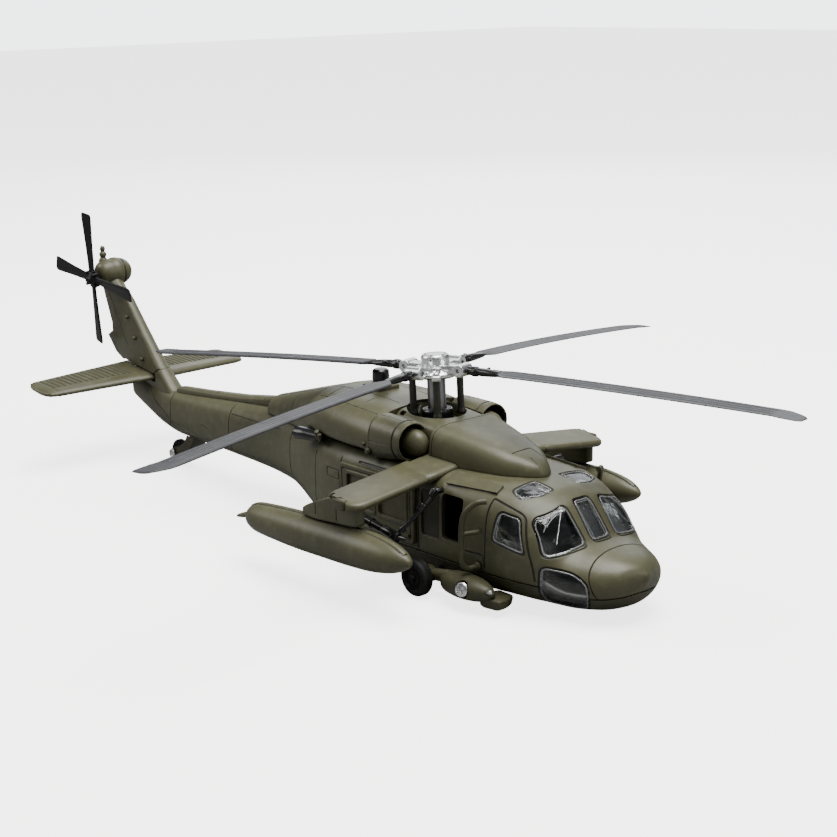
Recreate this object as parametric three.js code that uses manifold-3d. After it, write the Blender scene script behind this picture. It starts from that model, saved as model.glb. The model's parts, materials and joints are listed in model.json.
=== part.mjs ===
// Toy utility helicopter, about 1:72: a moulded body in several covers, clear panes, a four-blade main
// rotor, a canted tail rotor, stub wings with tanks, wheels and cabin doors.
// Millimetres, +X to the nose, +Y to port (left), +Z up. Heights below are counted from the ground;
// the finished group is lowered so that the origin lies in the plane of the flat belly face.
import * as THREE from "three";
import { mergeVertices } from "three/addons/utils/BufferGeometryUtils.js";
import Module from "manifold-3d";

const wasm = await Module();
wasm.setup();

// ---- driving dimensions ---------------------------------------------------------------------
const FLAT_Z = 1.9; // height of the flat belly face above the ground
const GAP = 0.3; // clearance between neighbouring pieces
const RUN = 0.09; // running clearance round a shaft
const WALL = 1.1; // shell thickness of the body mouldings
const RING = 20; // points round a body section
const REACH = 20; // half width of cutters that pass through the whole body
const SIDES = { left: 1, right: -1 }; // sign of y on each side

const SEAM_Z = 7.3; // height of the belly joint along the cabin side
const SEAM_BACK = -36; // rear end of the belly joint
const CAP_X = 55.4; // nose cap joint on the top centre line
const CAP_Z = 14.7; // height of that point
const CAP_RAKE = 0.37; // how far the cap joint moves forward for each mm down
const BOOM_X = -43.4; // joint between cabin and boom front section
const TAIL_X = -75; // joint between boom front section and tail boom
const FOLD_TOP = [-106.1, 22.6]; // fin fold joint, upper front end (x, z)
const FOLD_LOW = [-106.4, 13.0]; // fin fold joint, lower rear end (x, z)
const PANE = { inset: 0.35, back: 0.95 }; // outer and inner pane faces, below the body surface

const ROTOR_R = 91; // main rotor radius
const ROTOR_TILT = 2.4; // degrees the mast leans aft
const ROTOR_FOOT = [0.15, 0, 34]; // point of the mast axis at the deck
const BLADE_AZ = 11.5; // azimuth of the first blade from +X towards +Y
const BLADE_ROOT = 9; // radius where the blades begin
const BLADE_SAG = { front: 2.9, left: 5.0, rear: 2.9, right: 3.8 }; // tip sag of each blade
const MAST_R = 2.1;
const MAST_Z = [28, 41.6]; // lower and upper end of the mast
const HINGE = { r: 7.6, z: 44.1 }; // cross barrels at the ends of the hub arms
const LINK_R = 5.4; // circle the four pitch links stand on
const LINK_AZ = BLADE_AZ + 37.5; // azimuth of the first pitch link

const STAB_Z = 23.1; // stabilator leading edge, before the 0.2 offset in its sections
const STAB_SLOPE = 0.1; // rise of the stabilator for each mm aft
const STAB_DROOP = 0.028; // droop of the stabilator for each mm outwards
const TAIL_HUB = [-138.8, -6.1, 49.1]; // tail rotor centre
const GEARBOX_AT = [TAIL_HUB[0], 0, 50.3];
const TAIL_R = 19.3; // tail rotor radius
const TAIL_CANT = 7.5; // degrees the tail rotor axis points below horizontal to starboard
const TAIL_AZ = -8; // in-plane turn of the tail rotor blades, degrees
const TAIL_SHAFT_R = 0.6;

const WHEEL = { x: 18, y: 22.6, z: 4.2 }; // stands on the ground, so z is also the radius
const AXLE_R = 0.75;
const TAIL_WHEEL = { x: -107.4, z: 3.5 }; // likewise
const TAIL_PIN_R = 0.55;

const TANK = { y: 35, z: 12.25, tilt: 1.9 };
const WING = {
  y0: 9.0, y1: 38.4, // root and tip
  te: 7.0, le: 17.2, // trailing and leading edge
  zRoot: 27.3, zTip: 23.8,
  t: 2.1, // thickness
  twist: 0.5, // rise of the trailing edge and drop of the leading edge
};
const ENGINE = { y: 12.3, z: 30.1, front: 5.6, back: -5.1 };
const PLUG = { y: 11.4, z: 29.75 };
const DOOR = { x0: -14.6, x1: 11.2, z0: 8.6, z1: 22.6, y: 16.75, t: 0.9 };
const FLOOR_Z = 9; // level the seats and the bulkhead stand on
const TOP_CAP_X = -19.8; // black cap on the engine bay cover

// ---- section tables: x, bottom z, top z, half width, z of the widest point, and the power of the
// upper and lower curve (2 is an ellipse, more is squarer) ----------------------------------------
const HULL = [
  [63.6, 8.9, 11.5, 1.3, 10.2, 2.0, 2.0],
  [63.1, 7.0, 12.3, 3.6, 9.6, 2.0, 2.0],
  [61.7, 4.6, 13.0, 6.6, 9.0, 2.1, 2.0],
  [59.4, 2.9, 13.8, 9.0, 8.5, 2.2, 2.1],
  [56.0, 1.8, 14.6, 11.1, 8.3, 2.2, 2.3],
  [51.6, 1.4, 15.5, 13.1, 8.8, 2.3, 2.6],
  [48.3, 1.35, 19.2, 14.3, 10.4, 2.35, 2.8],
  [45.0, 1.35, 22.9, 15.1, 11.6, 2.5, 3.0],
  [43.0, 1.4, 23.9, 15.5, 12.0, 2.6, 3.2],
  [40.6, 1.5, 24.8, 15.9, 12.4, 2.9, 3.4],
  [36.5, 1.6, 25.4, 16.3, 13.0, 3.6, 3.8],
  [31.0, 1.6, 25.7, 16.5, 13.0, 4.8, 4.2],
  [20.0, 1.6, 25.8, 16.6, 13.0, 5.6, 4.4],
  [0.0, 1.6, 25.8, 16.6, 13.0, 5.6, 4.4],
  [-14.0, 1.6, 25.8, 16.5, 13.0, 5.4, 4.2],
  [-22.0, 2.2, 25.9, 15.6, 13.4, 4.8, 3.8],
  [-28.0, 3.3, 26.0, 14.3, 14.0, 4.2, 3.4],
  [-34.4, 4.6, 26.0, 12.5, 15.0, 3.6, 3.0],
  [-40.0, 6.0, 25.9, 10.9, 15.8, 3.2, 2.7],
  [-47.0, 7.5, 25.6, 9.2, 16.4, 3.0, 2.5],
  [-59.0, 8.5, 24.9, 7.5, 16.6, 2.9, 2.5],
  [-75.0, 8.9, 23.6, 6.1, 16.2, 2.8, 2.5],
  [-92.0, 9.1, 22.1, 4.7, 15.6, 2.7, 2.5],
  [-104.0, 9.3, 21.2, 3.8, 15.2, 2.6, 2.5],
  [-112.0, 10.6, 21.0, 3.2, 15.8, 2.5, 2.5],
  [-120.0, 13.2, 21.8, 2.6, 17.4, 2.4, 2.4],
  [-127.8, 16.0, 23.0, 1.9, 19.2, 2.2, 2.2],
];
// Rotor fairing in front of the mast.
const FAIRING = [
  [34.5, 24.6, 27.1, 1.3, 24.6, 2.4, 2.4],
  [33.2, 24.5, 28.2, 3.1, 24.5, 2.6, 2.4],
  [31.0, 24.3, 29.2, 4.9, 24.3, 2.9, 2.4],
  [28.6, 24.2, 30.0, 6.4, 24.2, 3.3, 2.4],
  [24.0, 24.2, 31.3, 7.9, 24.2, 3.8, 2.4],
  [19.0, 24.2, 32.3, 8.9, 24.2, 4.4, 2.4],
  [9.2, 24.2, 33.9, 10.8, 24.2, 5.6, 2.4],
];
// Mast deck between the front fairing and the engine bay cover.
const DECK = [
  [8.8, 26.1, 33.6, 8.6, 26.1, 5.6, 2.4],
  [0.0, 26.1, 34.5, 8.6, 26.1, 5.8, 2.4],
  [-5.6, 26.1, 35.0, 8.6, 26.1, 5.8, 2.4],
];
// Engine bay cover and the tapering spine fairing behind it.
const BAY = [
  [-5.4, 24.6, 35.2, 15.9, 27.2, 2.9, 2.2],
  [-12.0, 24.6, 35.9, 15.9, 27.4, 2.9, 2.2],
  [-20.0, 24.6, 36.2, 15.2, 27.4, 2.9, 2.2],
  [-28.0, 24.6, 36.0, 13.8, 27.4, 2.8, 2.2],
  [-33.0, 24.6, 35.1, 12.4, 27.4, 2.7, 2.2],
];
const SPINE = [
  [-33.4, 24.0, 35.0, 10.4, 24.2, 2.6, 2.2],
  [-40.0, 24.0, 33.3, 9.0, 24.2, 2.5, 2.2],
  [-50.0, 24.0, 30.6, 7.0, 24.2, 2.4, 2.2],
  [-58.5, 24.0, 28.3, 5.2, 24.2, 2.3, 2.2],
];

// ---- solids and meshes ------------------------------------------------------------------------
const rad = THREE.MathUtils.degToRad;
const vec = (x, y, z) => new THREE.Vector3(x, y, z);
const sum = (...parts) => parts.reduce((whole, part) => whole.add(part));
const cut = (blank, ...tools) => tools.reduce((rest, tool) => rest.subtract(tool), blank);

function solid(geometry) {
  const flat = geometry.index ? geometry.toNonIndexed() : geometry;
  const bare = new THREE.BufferGeometry().setAttribute("position", flat.getAttribute("position"));
  const merged = mergeVertices(bare, 1e-4);
  return new wasm.Manifold(
    new wasm.Mesh({
      numProp: 3,
      vertProperties: merged.attributes.position.array,
      triVerts: new Uint32Array(merged.index.array),
    }),
  );
}
// The largest single body of a solid, as a three.js geometry.
function shape(made) {
  const bodies = made.decompose().sort((a, b) => b.volume() - a.volume());
  const mesh = bodies[0].getMesh();
  const stride = mesh.numProp;
  const points = new Float32Array(mesh.numVert * 3);
  for (let i = 0; i < mesh.numVert; i++) {
    points.set(mesh.vertProperties.subarray(i * stride, i * stride + 3), i * 3);
  }
  const geometry = new THREE.BufferGeometry()
    .setAttribute("position", new THREE.BufferAttribute(points, 3))
    .setIndex(new THREE.BufferAttribute(new Uint32Array(mesh.triVerts), 1));
  geometry.computeVertexNormals();
  return geometry;
}
// Turns every triangle inside out.
function flipped(geometry) {
  const index = Array.from(geometry.index.array);
  for (let i = 0; i < index.length; i += 3) {
    [index[i + 1], index[i + 2]] = [index[i + 2], index[i + 1]];
  }
  return geometry.setIndex(index);
}
// A copy on the other side of the centre plane.
const mirrored = (geometry) => flipped(geometry.clone().scale(1, -1, 1));

// ---- basic shapes -----------------------------------------------------------------------------
function box(x0, x1, y0, y1, z0, z1) {
  const block = new THREE.BoxGeometry(x1 - x0, y1 - y0, z1 - z0);
  return block.translate((x0 + x1) / 2, (y0 + y1) / 2, (z0 + z1) / 2);
}
// Turns a shape's Y axis to a unit direction.
const aimed = (geometry, direction) =>
  geometry.applyQuaternion(new THREE.Quaternion().setFromUnitVectors(vec(0, 1, 0), direction));

// A straight cylinder or cone between two points.
function rod(from, to, radius, segs = 12, endRadius = radius) {
  const start = vec(...from);
  const end = vec(...to);
  const step = end.clone().sub(start);
  const round = new THREE.CylinderGeometry(endRadius, radius, step.length(), segs);
  return aimed(round, step.normalize()).translate(...start.lerp(end, 0.5));
}
// Solid cylinder along y through a place given by x and z.
const crossRod = ({ x, z }, y0, y1, radius, segs) =>
  solid(rod([x, y0, z], [x, y1, z], radius, segs));

// Turned shape: profile of [radius, station] pairs, turned about the axis x, y or z.
function turned(profile, axis, segs) {
  const outline = profile.map(([radius, station]) => new THREE.Vector2(radius, station));
  const lathe = new THREE.LatheGeometry(outline, segs);
  if (axis === "x") lathe.rotateZ(-Math.PI / 2);
  if (axis === "z") lathe.rotateX(Math.PI / 2);
  return lathe;
}
// Solid upright cylinder on the centre plane.
const drum = (radius, z0, z1, segs, x = 0) =>
  solid(turned([[0, z0], [radius, z0], [radius, z1], [0, z1]], "z", segs).translate(x, 0, 0));

function extruded(points, depth) {
  const outline = new THREE.Shape(points.map((point) => new THREE.Vector2(...point)));
  return new THREE.ExtrudeGeometry(outline, { depth, bevelEnabled: false, steps: 1 });
}
// Solid plates, drawn in the two named axes and reaching between two values of the third.
const plateXZ = (points, y0, y1) =>
  solid(extruded(points, y1 - y0).rotateX(Math.PI / 2).translate(0, y1, 0));
const plateXY = (points, z0, z1) => solid(extruded(points, z1 - z0).translate(0, 0, z0));
const plateYZ = (points, x0, x1) =>
  solid(extruded(points, x1 - x0).rotateZ(Math.PI / 2).rotateY(Math.PI / 2).translate(x0, 0, 0));

// Solid round bar with six sides along a smooth path.
function bar(points, radius, steps) {
  const path = points.map((point) => vec(...point));
  const extrudePath = new THREE.CatmullRomCurve3(path, false, "catmullrom", 0.35);
  const corners = Array.from({ length: 6 }, (_, i) => {
    const angle = (i / 6) * 2 * Math.PI;
    return new THREE.Vector2(radius * Math.cos(angle), radius * Math.sin(angle));
  });
  const outline = new THREE.Shape(corners);
  return solid(new THREE.ExtrudeGeometry(outline, { steps, extrudePath, bevelEnabled: false }));
}
// Skin over rings that all have the same number of points, with flat ends.
function skin(rings) {
  const count = rings[0].length;
  const last = (rings.length - 1) * count;
  const centre = (ring) => [0, 1, 2].map((k) => ring.reduce((total, p) => total + p[k], 0) / count);
  const points = [...rings.flat(), centre(rings[0]), centre(rings[rings.length - 1])];
  const firstCentre = rings.length * count;
  const lastCentre = firstCentre + 1;
  const index = [];
  for (let i = 0; i < rings.length - 1; i++) {
    for (let j = 0; j < count; j++) {
      const here = i * count + j;
      const next = i * count + ((j + 1) % count);
      index.push(here, next, next + count, here, next + count, here + count);
    }
  }
  for (let j = 0; j < count; j++) {
    const next = (j + 1) % count;
    index.push(firstCentre, next, j);
    index.push(lastCentre, last + j, last + next);
  }
  const position = new THREE.BufferAttribute(new Float32Array(points.flat()), 3);
  const geometry = new THREE.BufferGeometry().setAttribute("position", position).setIndex(index);
  return solid(geometry).volume() < 0 ? flipped(geometry) : geometry;
}
const loft = (rings) => solid(skin(rings));

// Elliptical ring across X.
const oval = (x, ry, rz, y = ENGINE.y, z = ENGINE.z, count = 16) =>
  Array.from({ length: count }, (_, i) => {
    const angle = (i / count) * 2 * Math.PI;
    return [x, y + ry * Math.cos(angle), z + rz * Math.sin(angle)];
  });

// ---- lofted bodies from the section tables ----------------------------------------------------
// Ring of one table row, pulled in by inset.
function section([x, bottom, top, halfWidth, widest, upper, lower], inset, count) {
  const ring = [];
  for (let i = 0; i < count; i++) {
    const angle = (i / count) * 2 * Math.PI;
    const c = Math.cos(angle);
    const s = Math.sin(angle);
    const power = 2 / (s >= 0 ? upper : lower);
    const height = s >= 0 ? top - widest : widest - bottom;
    const y = Math.sign(c) * Math.abs(c) ** power;
    const z = Math.sign(s) * Math.abs(s) ** power;
    ring.push([
      x,
      Math.max(halfWidth - inset, 0.05) * y,
      widest + z * Math.max(height - inset, 0.03),
    ]);
  }
  return ring;
}
// Row at any x by straight interpolation; past an end, the end section carries on.
function rowAt(table, x) {
  for (let i = 0; i < table.length - 1; i++) {
    const [ahead, behind] = [table[i], table[i + 1]];
    if (x <= ahead[0] && x >= behind[0]) {
      const share = (ahead[0] - x) / (ahead[0] - behind[0]);
      return ahead.map((value, k) => value + (behind[k] - value) * share);
    }
  }
  const end = x > table[0][0] ? table[0] : table[table.length - 1];
  return [x, ...end.slice(1)];
}
// Solid of a table between two x values. Table rows within 0.4 of an end are left out.
function body(table, front, back, inset = 0, count = RING) {
  const between = table.map(([x]) => x).filter((x) => x < front - 0.4 && x > back + 0.4);
  return loft([front, ...between, back].map((x) => section(rowAt(table, x), inset, count)));
}

// Bodies grown by the gap, to cut clearance into neighbouring pieces.
const roofClear = body(HULL, 50, BOOM_X, -GAP);
const rearRoofClear = body(HULL, 0, BOOM_X - 6, -GAP);

// ---- window and door openings -----------------------------------------------------------------
const DOOR_WINDOW = [[34.9, 15.0], [43.7, 13.5], [41.2, 20.6], [36.3, 21.5]]; // x, z
const GUNNER_WINDOW = [[19.6, 12.0], [26.0, 12.0], [26.2, 22.1], [19.6, 22.2]]; // x, z
const GUNNER_PANEL = [[12.8, 11.4], [18.8, 11.4], [18.8, 21.8], [12.8, 21.8]]; // x, z
const DOOR_OPENING = [[-12.6, 9.8], [9.6, 9.8], [9.6, 20.9], [-12.6, 20.9]]; // x, z
const CHIN_WINDOW = [ // x, z
  [47.5, 11.2], [48.5, 11.9], [54.3, 11.1], [57.0, 9.2], [57.1, 7.2],
  [56.2, 3.9], [53.4, 2.3], [47.4, 2.5], [46.7, 4.0],
];
const WINDSHIELD_SIDE = [[4.5, 15.3], [14.1, 13.7], [13.0, 19.6], [11.8, 20.9], [4.9, 22.7]]; // y, z
const WINDSHIELD_MID = [[-2.7, 15.5], [2.7, 15.5], [2.4, 23.0], [-2.4, 23.0]]; // y, z
const ROOF_WINDOW = [[35.0, 3.6], [35.5, 10.8], [38.7, 11.3], [41.0, 7.2], [40.8, 3.7]]; // x, y

// Moves each corner of an outline towards the mean of its corners.
function shrink(points, inset) {
  const mean = (k) => points.reduce((total, point) => total + point[k], 0) / points.length;
  const [cx, cz] = [mean(0), mean(1)];
  return points.map(([x, z]) => {
    const reach = Math.hypot(x - cx, z - cz);
    const scale = (reach - inset) / reach;
    return [cx + (x - cx) * scale, cz + (z - cz) * scale];
  });
}
// Prism through one side of the body, outwards from the distance inner.
const sidePrism = (points, side, inner) =>
  side > 0 ? plateXZ(points, inner, REACH) : plateXZ(points, -REACH, -inner);
const sidedYZ = (points, side) => (side > 0 ? points : points.map(([y, z]) => [-y, z]).reverse());
const sidedXY = (points, side) => (side > 0 ? points : points.map(([x, y]) => [x, -y]).reverse());

// Openings that hold a pane on each side.
const paired = {
  door_window: (inset, side) => sidePrism(shrink(DOOR_WINDOW, inset), side, 10),
  chin_window: (inset, side) => sidePrism(shrink(CHIN_WINDOW, inset), side, 5.5),
  windshield: (inset, side) => plateYZ(shrink(sidedYZ(WINDSHIELD_SIDE, side), inset), 40.8, 60),
  roof_window: (inset, side) => plateXY(shrink(sidedXY(ROOF_WINDOW, side), inset), 21.2, 30),
};
const midOpening = (inset) => plateYZ(shrink(WINDSHIELD_MID, inset), 40, 60);

const openings = [midOpening(0)];
for (const side of Object.values(SIDES)) {
  for (const opening of Object.values(paired)) openings.push(opening(0, side));
  openings.push(
    sidePrism(GUNNER_WINDOW, side, 12),
    sidePrism(GUNNER_PANEL, side, 16.15), // a shallow pocket
    sidePrism(DOOR_OPENING, side, 12),
  );
}

// Panes, each smaller than its opening by the gap.
const paneSkin = cut(body(HULL, 63.1, 25, PANE.inset), body(HULL, 61.7, 24, PANE.back));
const panes = {};
for (const [name, opening] of Object.entries(paired)) {
  for (const [sideName, side] of Object.entries(SIDES)) {
    panes[`${name}_${sideName}`] = paneSkin.intersect(opening(GAP, side));
  }
}
panes.windshield_center = paneSkin.intersect(midOpening(GAP));

// ---- cabin shells -----------------------------------------------------------------------------
const hullIn = body(HULL, 61.2, BOOM_X + 2.4, WALL);
const hull = cut(body(HULL, HULL[0][0], BOOM_X + GAP / 2), hullIn, ...openings);

// Space below the belly joint, grown by d.
const bellyZone = (d) => plateXZ([
  [SEAM_BACK - d, -3], [68, -3], [68, 8.3 + d], [63.5, 7.1 + d], [60, 6.3 + d], [56.5, 6.1 + d],
  [52, 6.6 + d], [48, SEAM_Z + d], [SEAM_BACK - d, SEAM_Z + d],
], -REACH, REACH);
// Space ahead of the raked nose cap joint, moved forward by d.
const capZone = (d) => plateXZ([
  [CAP_X + d - CAP_RAKE * 6, CAP_Z + 6], [CAP_X + d + CAP_RAKE * 12, CAP_Z - 12],
  [70, -1], [70, 21],
], -REACH, REACH);

const bellyShell = cut(
  hull.intersect(bellyZone(-GAP / 2)),
  solid(box(-40, 33, -REACH, REACH, -5, FLAT_Z)), // levels the flat belly face
  crossRod(WHEEL, -REACH, REACH, AXLE_R + GAP, 14),
);
const upperShell = cut(hull, bellyZone(GAP / 2), capZone(-GAP / 2));
const noseCap = cut(hull.intersect(capZone(GAP / 2)), bellyZone(GAP / 2));

// ---- boom, fin and stabilator -----------------------------------------------------------------
const BOOM_END = HULL[HULL.length - 1][0];
const boomFront = cut(
  body(HULL, BOOM_X - GAP / 2, TAIL_X + GAP / 2),
  body(HULL, BOOM_X + 2, TAIL_X + 1.4, WALL, 12),
);
// Space behind the fin fold joint, moved forward by d.
const foldZone = (d) => plateXZ([
  [FOLD_TOP[0] + d + 10.5, FOLD_TOP[1] + 12.5], [FOLD_TOP[0] + d, FOLD_TOP[1]],
  [FOLD_LOW[0] + d, FOLD_LOW[1]], [FOLD_LOW[0] + d - 10.5, FOLD_LOW[1] - 12.5],
  [-160, -5], [-160, 70],
], -12, 12);
const stabSlot = plateXZ([
  [-115.4, STAB_Z - 1.2], [-134.6, STAB_Z + 0.6], [-134.6, STAB_Z + 3.4], [-115.4, STAB_Z + 1.6],
], -40, 40);
const tailBoom = cut(
  body(HULL, TAIL_X - GAP / 2, BOOM_END),
  foldZone(GAP / 2),
  body(HULL, TAIL_X + 2, -98, WALL, 12),
  stabSlot,
);

// Fin sections upwards: x front, x back, z, half thickness.
const FIN = [
  [-103.5, -126.0, 16.5, 2.5],
  [-107.6, -129.0, 21.3, 2.3],
  [-110.8, -131.6, 24.2, 2.15],
  [-114.2, -138.2, 27.4, 2.0],
  [-117.2, -140.9, 30.4, 1.85],
  [-118.5, -142.2, 31.8, 1.8],
  [-119.9, -139.6, 33.3, 1.75],
  [-122.0, -139.6, 35.6, 1.65],
  [-128.6, -142.6, 43.2, 1.4],
  [-130.9, -143.3, 45.3, 1.35],
];
// Fin outline: share of the chord from the front, share of the half thickness.
const FIN_OUTLINE = [
  [0, 0], [0.02, 0.7], [0.08, 1], [0.55, 0.78], [1, 0.12],
  [1, -0.12], [0.55, -0.78], [0.08, -1], [0.02, -0.7],
];
const finBlade = loft(FIN.map(([front, back, z, t]) =>
  FIN_OUTLINE.map(([along, across]) => [front - along * (front - back), across * t, z])));
const tailFin = cut(
  sum(body(HULL, -104, BOOM_END), finBlade).intersect(foldZone(-GAP / 2)),
  stabSlot,
);

// Stabilator sections: y, x back, x front, half thickness.
const STABILATOR = [
  [-31.8, -130.6, -124.4, 0.45],
  [-30.0, -132.8, -121.6, 0.62],
  [-18, -133.2, -119.2, 0.8],
  [0, -133.4, -116.2, 1.0],
  [18, -133.2, -119.2, 0.8],
  [30.0, -132.8, -121.6, 0.62],
  [31.8, -130.6, -124.4, 0.45],
];
const stabilator = loft(STABILATOR.map(([y, back, front, t]) => {
  const outline = [
    [front, 0], [front - 1.4, t], [back + 3, t * 0.7], [back, 0.15],
    [back, -0.15], [back + 3, -t * 0.7], [front - 1.4, -t],
  ];
  const base = STAB_Z + 0.2 - STAB_DROOP * Math.abs(y);
  return outline.map(([x, z]) => [x, y, base + z + STAB_SLOPE * (front - x)]);
}));

// ---- tail gearbox -----------------------------------------------------------------------------
const tailAxis = vec(0, -Math.cos(rad(TAIL_CANT)), -Math.sin(rad(TAIL_CANT)));
const onTailAxis = (distance) => vec(...TAIL_HUB).addScaledVector(tailAxis, distance).toArray();
const GEARBOX_PROFILE = [ // radius, y
  [0, -4.45], [1.9, -4.4], [2.6, -4.05], [3.2, -3.3], [3.6, -2.2], [3.85, -0.6],
  [3.9, 2.4], [3.7, 2.9], [3.3, 4.0], [2.6, 5.0], [1.5, 5.7], [0, 5.9],
];
const GEARBOX_NECK = [ // x front, x back, z, half thickness
  [-131.4, -143.2, 45.6, 1.35],
  [-133.2, -142.6, 47.0, 1.9],
  [-135.6, -142.0, 49.0, 2.2],
];
const tailGearbox = sum(
  solid(turned(GEARBOX_PROFILE, "y", 20).translate(...GEARBOX_AT)),
  loft(GEARBOX_NECK.map(([front, back, z, t]) => [
    [front, 0, z], [front - 0.5, 0.7 * t, z], [front - 1.6, t, z],
    [back + 1.5, t * 0.8, z], [back, 0.3, z], [back, -0.3, z],
    [back + 1.5, -t * 0.8, z], [front - 1.6, -t, z], [front - 0.5, -0.7 * t, z],
  ])),
  solid(rod(onTailAxis(-3), onTailAxis(0.05), TAIL_SHAFT_R, 10)),
);

// ---- covers on the roof -----------------------------------------------------------------------
const frontFairing = cut(
  body(FAIRING, 34.5, 9.2, 0, 22),
  roofClear,
  body(FAIRING, 31.4, 10.4, WALL, 12),
);
const mastWell = drum(6.7, 31.4, 43.4, 24, 0.1);
const mastDeck = cut(body(DECK, 8.9, -5.8), mastWell, drum(2.6, 27, 47, 20, 0.2), roofClear);
const engineBayCover = cut(
  sum(
    cut(body(BAY, -5.4, -33), rearRoofClear, body(BAY, -6.6, -31.8, WALL, 12)),
    solid(box(TOP_CAP_X - 3.3, TOP_CAP_X + 3.3, -3.1, 3.1, 34.4, 37)), // block under the top cap
  ),
  drum(2.4, 35.4, 41.4, 16, TOP_CAP_X),
  mastWell,
  body(SPINE, -33.2, -58.5, -GAP),
  body(DECK, 8.9, -5.8, -GAP),
);
const TOP_CAP = [[0, 0], [2.0, 0], [2.05, 0.3], [2.05, 3.7], [1.6, 4.2], [0, 4.3]]; // radius, z
const topCap = solid(turned(TOP_CAP, "z", 16).translate(TOP_CAP_X, 0, 36.6));
const spineFairing = cut(body(SPINE, -33.4, -58.5), body(HULL, -30, -80, -GAP));

const BOOM_TOP = [ // x, top z, half width
  [-59.1, 27.6, 2.3], [-63, 26.9, 2.2], [-75, 25.2, 2.0],
  [-92, 23.6, 1.7], [-104, 22.7, 1.5], [-106.5, 22.2, 1.3],
];
const boomTopCover = cut(
  loft(BOOM_TOP.map(([x, z, w]) => [
    [x, -w, z - 6], [x, -w, z - 0.8], [x, -w * 0.6, z - 0.1], [x, 0, z],
    [x, w * 0.6, z - 0.1], [x, w, z - 0.8], [x, w, z - 6],
  ])),
  body(HULL, -50, -129, -GAP),
  foldZone(GAP),
);

// ---- engines (port side) ----------------------------------------------------------------------
const nacelle = cut(
  sum(
    loft([
      oval(ENGINE.front, 4.3, 4.2),
      oval(ENGINE.front - 0.6, 4.5, 4.4),
      oval(ENGINE.front - 2.0, 4.5, 4.4),
      oval(ENGINE.front - 2.3, 4.4, 4.3),
      oval(ENGINE.front - 2.6, 4.5, 4.5),
      oval(-1.0, 4.55, 4.9, 12.1, 29.8),
      oval(ENGINE.back, 4.6, 5.3, 11.9, 29.5),
    ]),
    plateXZ([[ENGINE.back, 26], [2.2, 26], [2.2, 32], [ENGINE.back, 33.2]], 8.9, 12), // inner root
  ),
  loft([oval(ENGINE.front + 1, 4.05, 3.95), oval(ENGINE.front - 5.5, 3.7, 3.75)]), // bore
  solid(rod( // seat of the inlet plug
    [ENGINE.front - 6.4, PLUG.y, PLUG.z], [ENGINE.front - 3.4, PLUG.y, PLUG.z], 1.8,
  )),
  roofClear,
  solid(box(-6, 10, 0, 8.9, 20, 40)),
  body(FAIRING, 34.5, 9.2, -GAP, 22),
);
const PLUG_PROFILE = [ // radius, x
  [0, 0], [2.4, 0], [2.75, 1.2], [3.05, 3.4], [2.8, 5.3], [1.9, 6.7], [0.9, 7.3], [0, 7.4],
];
const inletPlug = sum(
  solid(
    turned(PLUG_PROFILE, "x", 14)
      .scale(1, 0.84, 1)
      .translate(ENGINE.front - 4.2, PLUG.y, PLUG.z),
  ),
  solid(rod(
    [ENGINE.front - 6.2, PLUG.y, PLUG.z], [ENGINE.front - 3.6, PLUG.y, PLUG.z], 1.6,
  )),
);
const exhaustPipe = cut(
  loft([
    oval(-26.6, 1.7, 1.2, 13.2, 25.4, 12),
    oval(-30.2, 2.0, 1.5, 13.8, 25.5, 12),
    oval(-33.2, 2.1, 1.6, 14.6, 25.6, 12),
  ]),
  loft([oval(-30.8, 1.3, 0.9, 14.1, 25.55, 12), oval(-34.2, 1.6, 1.1, 14.9, 25.65, 12)]),
  body(BAY, -5.4, -33, -GAP),
  rearRoofClear,
);

// ---- wing, pylon and tank (port side) ---------------------------------------------------------
// Wing section at y, lowered by drop; the edges draw in towards the tip.
function wingRing(y, drop = 0) {
  const share = (y - WING.y0) / (WING.y1 - WING.y0);
  const base = WING.zRoot + (WING.zTip - WING.zRoot) * share - drop;
  const tip = Math.max(0, (y - 35.5) / 2.5);
  const le = WING.le - 2.6 * tip * tip;
  const te = WING.te + 1.6 * tip * tip;
  const { t, twist } = WING;
  const outline = [
    [te, twist - 0.75], [te + 0.2, twist - 0.25], [te + 1, twist],
    [le - 1.2, -twist], [le - 0.3, -twist - 0.35], [le, -twist - 0.95],
    [le - 0.4, -twist - t * 0.86], [le - 1.6, -twist - t], [te + 1.2, twist - t * 0.8],
  ];
  return outline.map(([x, z]) => [x, y, base + z]);
}
const wing = cut(
  loft([WING.y0, 18, 26, 35.5, 37.2, WING.y1].map((y) => wingRing(y))),
  roofClear,
  loft([oval(ENGINE.front + 3, 5.0, 4.8), oval(ENGINE.back - 2, 5.0, 4.9)]),
  body(FAIRING, 34.5, 8.9, -GAP, 22),
);

const PYLON = [ // x, half width, bottom z, top z
  [15.2, 0.5, 18.2, 23], [14.2, 1.2, 17.6, 23], [7.5, 1.5, 17.4, 23], [4.3, 1.6, 17.1, 22.0],
  [1.5, 1.6, 16.95, 20.9], [-1.7, 1.4, 16.9, 19.5], [-4.0, 0.9, 16.9, 18.3],
  [-4.9, 0.3, 17.1, 17.6],
];
const pylon = cut(
  loft(PYLON.map(([x, w, bottom, top]) => {
    const outline = [
      [-w, bottom], [w, bottom], [w, top - 0.5], [w * 0.8, top], [-w * 0.8, top], [-w, top - 0.5],
    ];
    return outline.map(([y, z]) => [x, TANK.y + y, z]);
  })),
  loft([30, 35.5, 37.2, WING.y1].map((y) => wingRing(y, GAP))),
  solid(box(-10, 30, 30, 40, 22.6, 30)),
);

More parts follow.
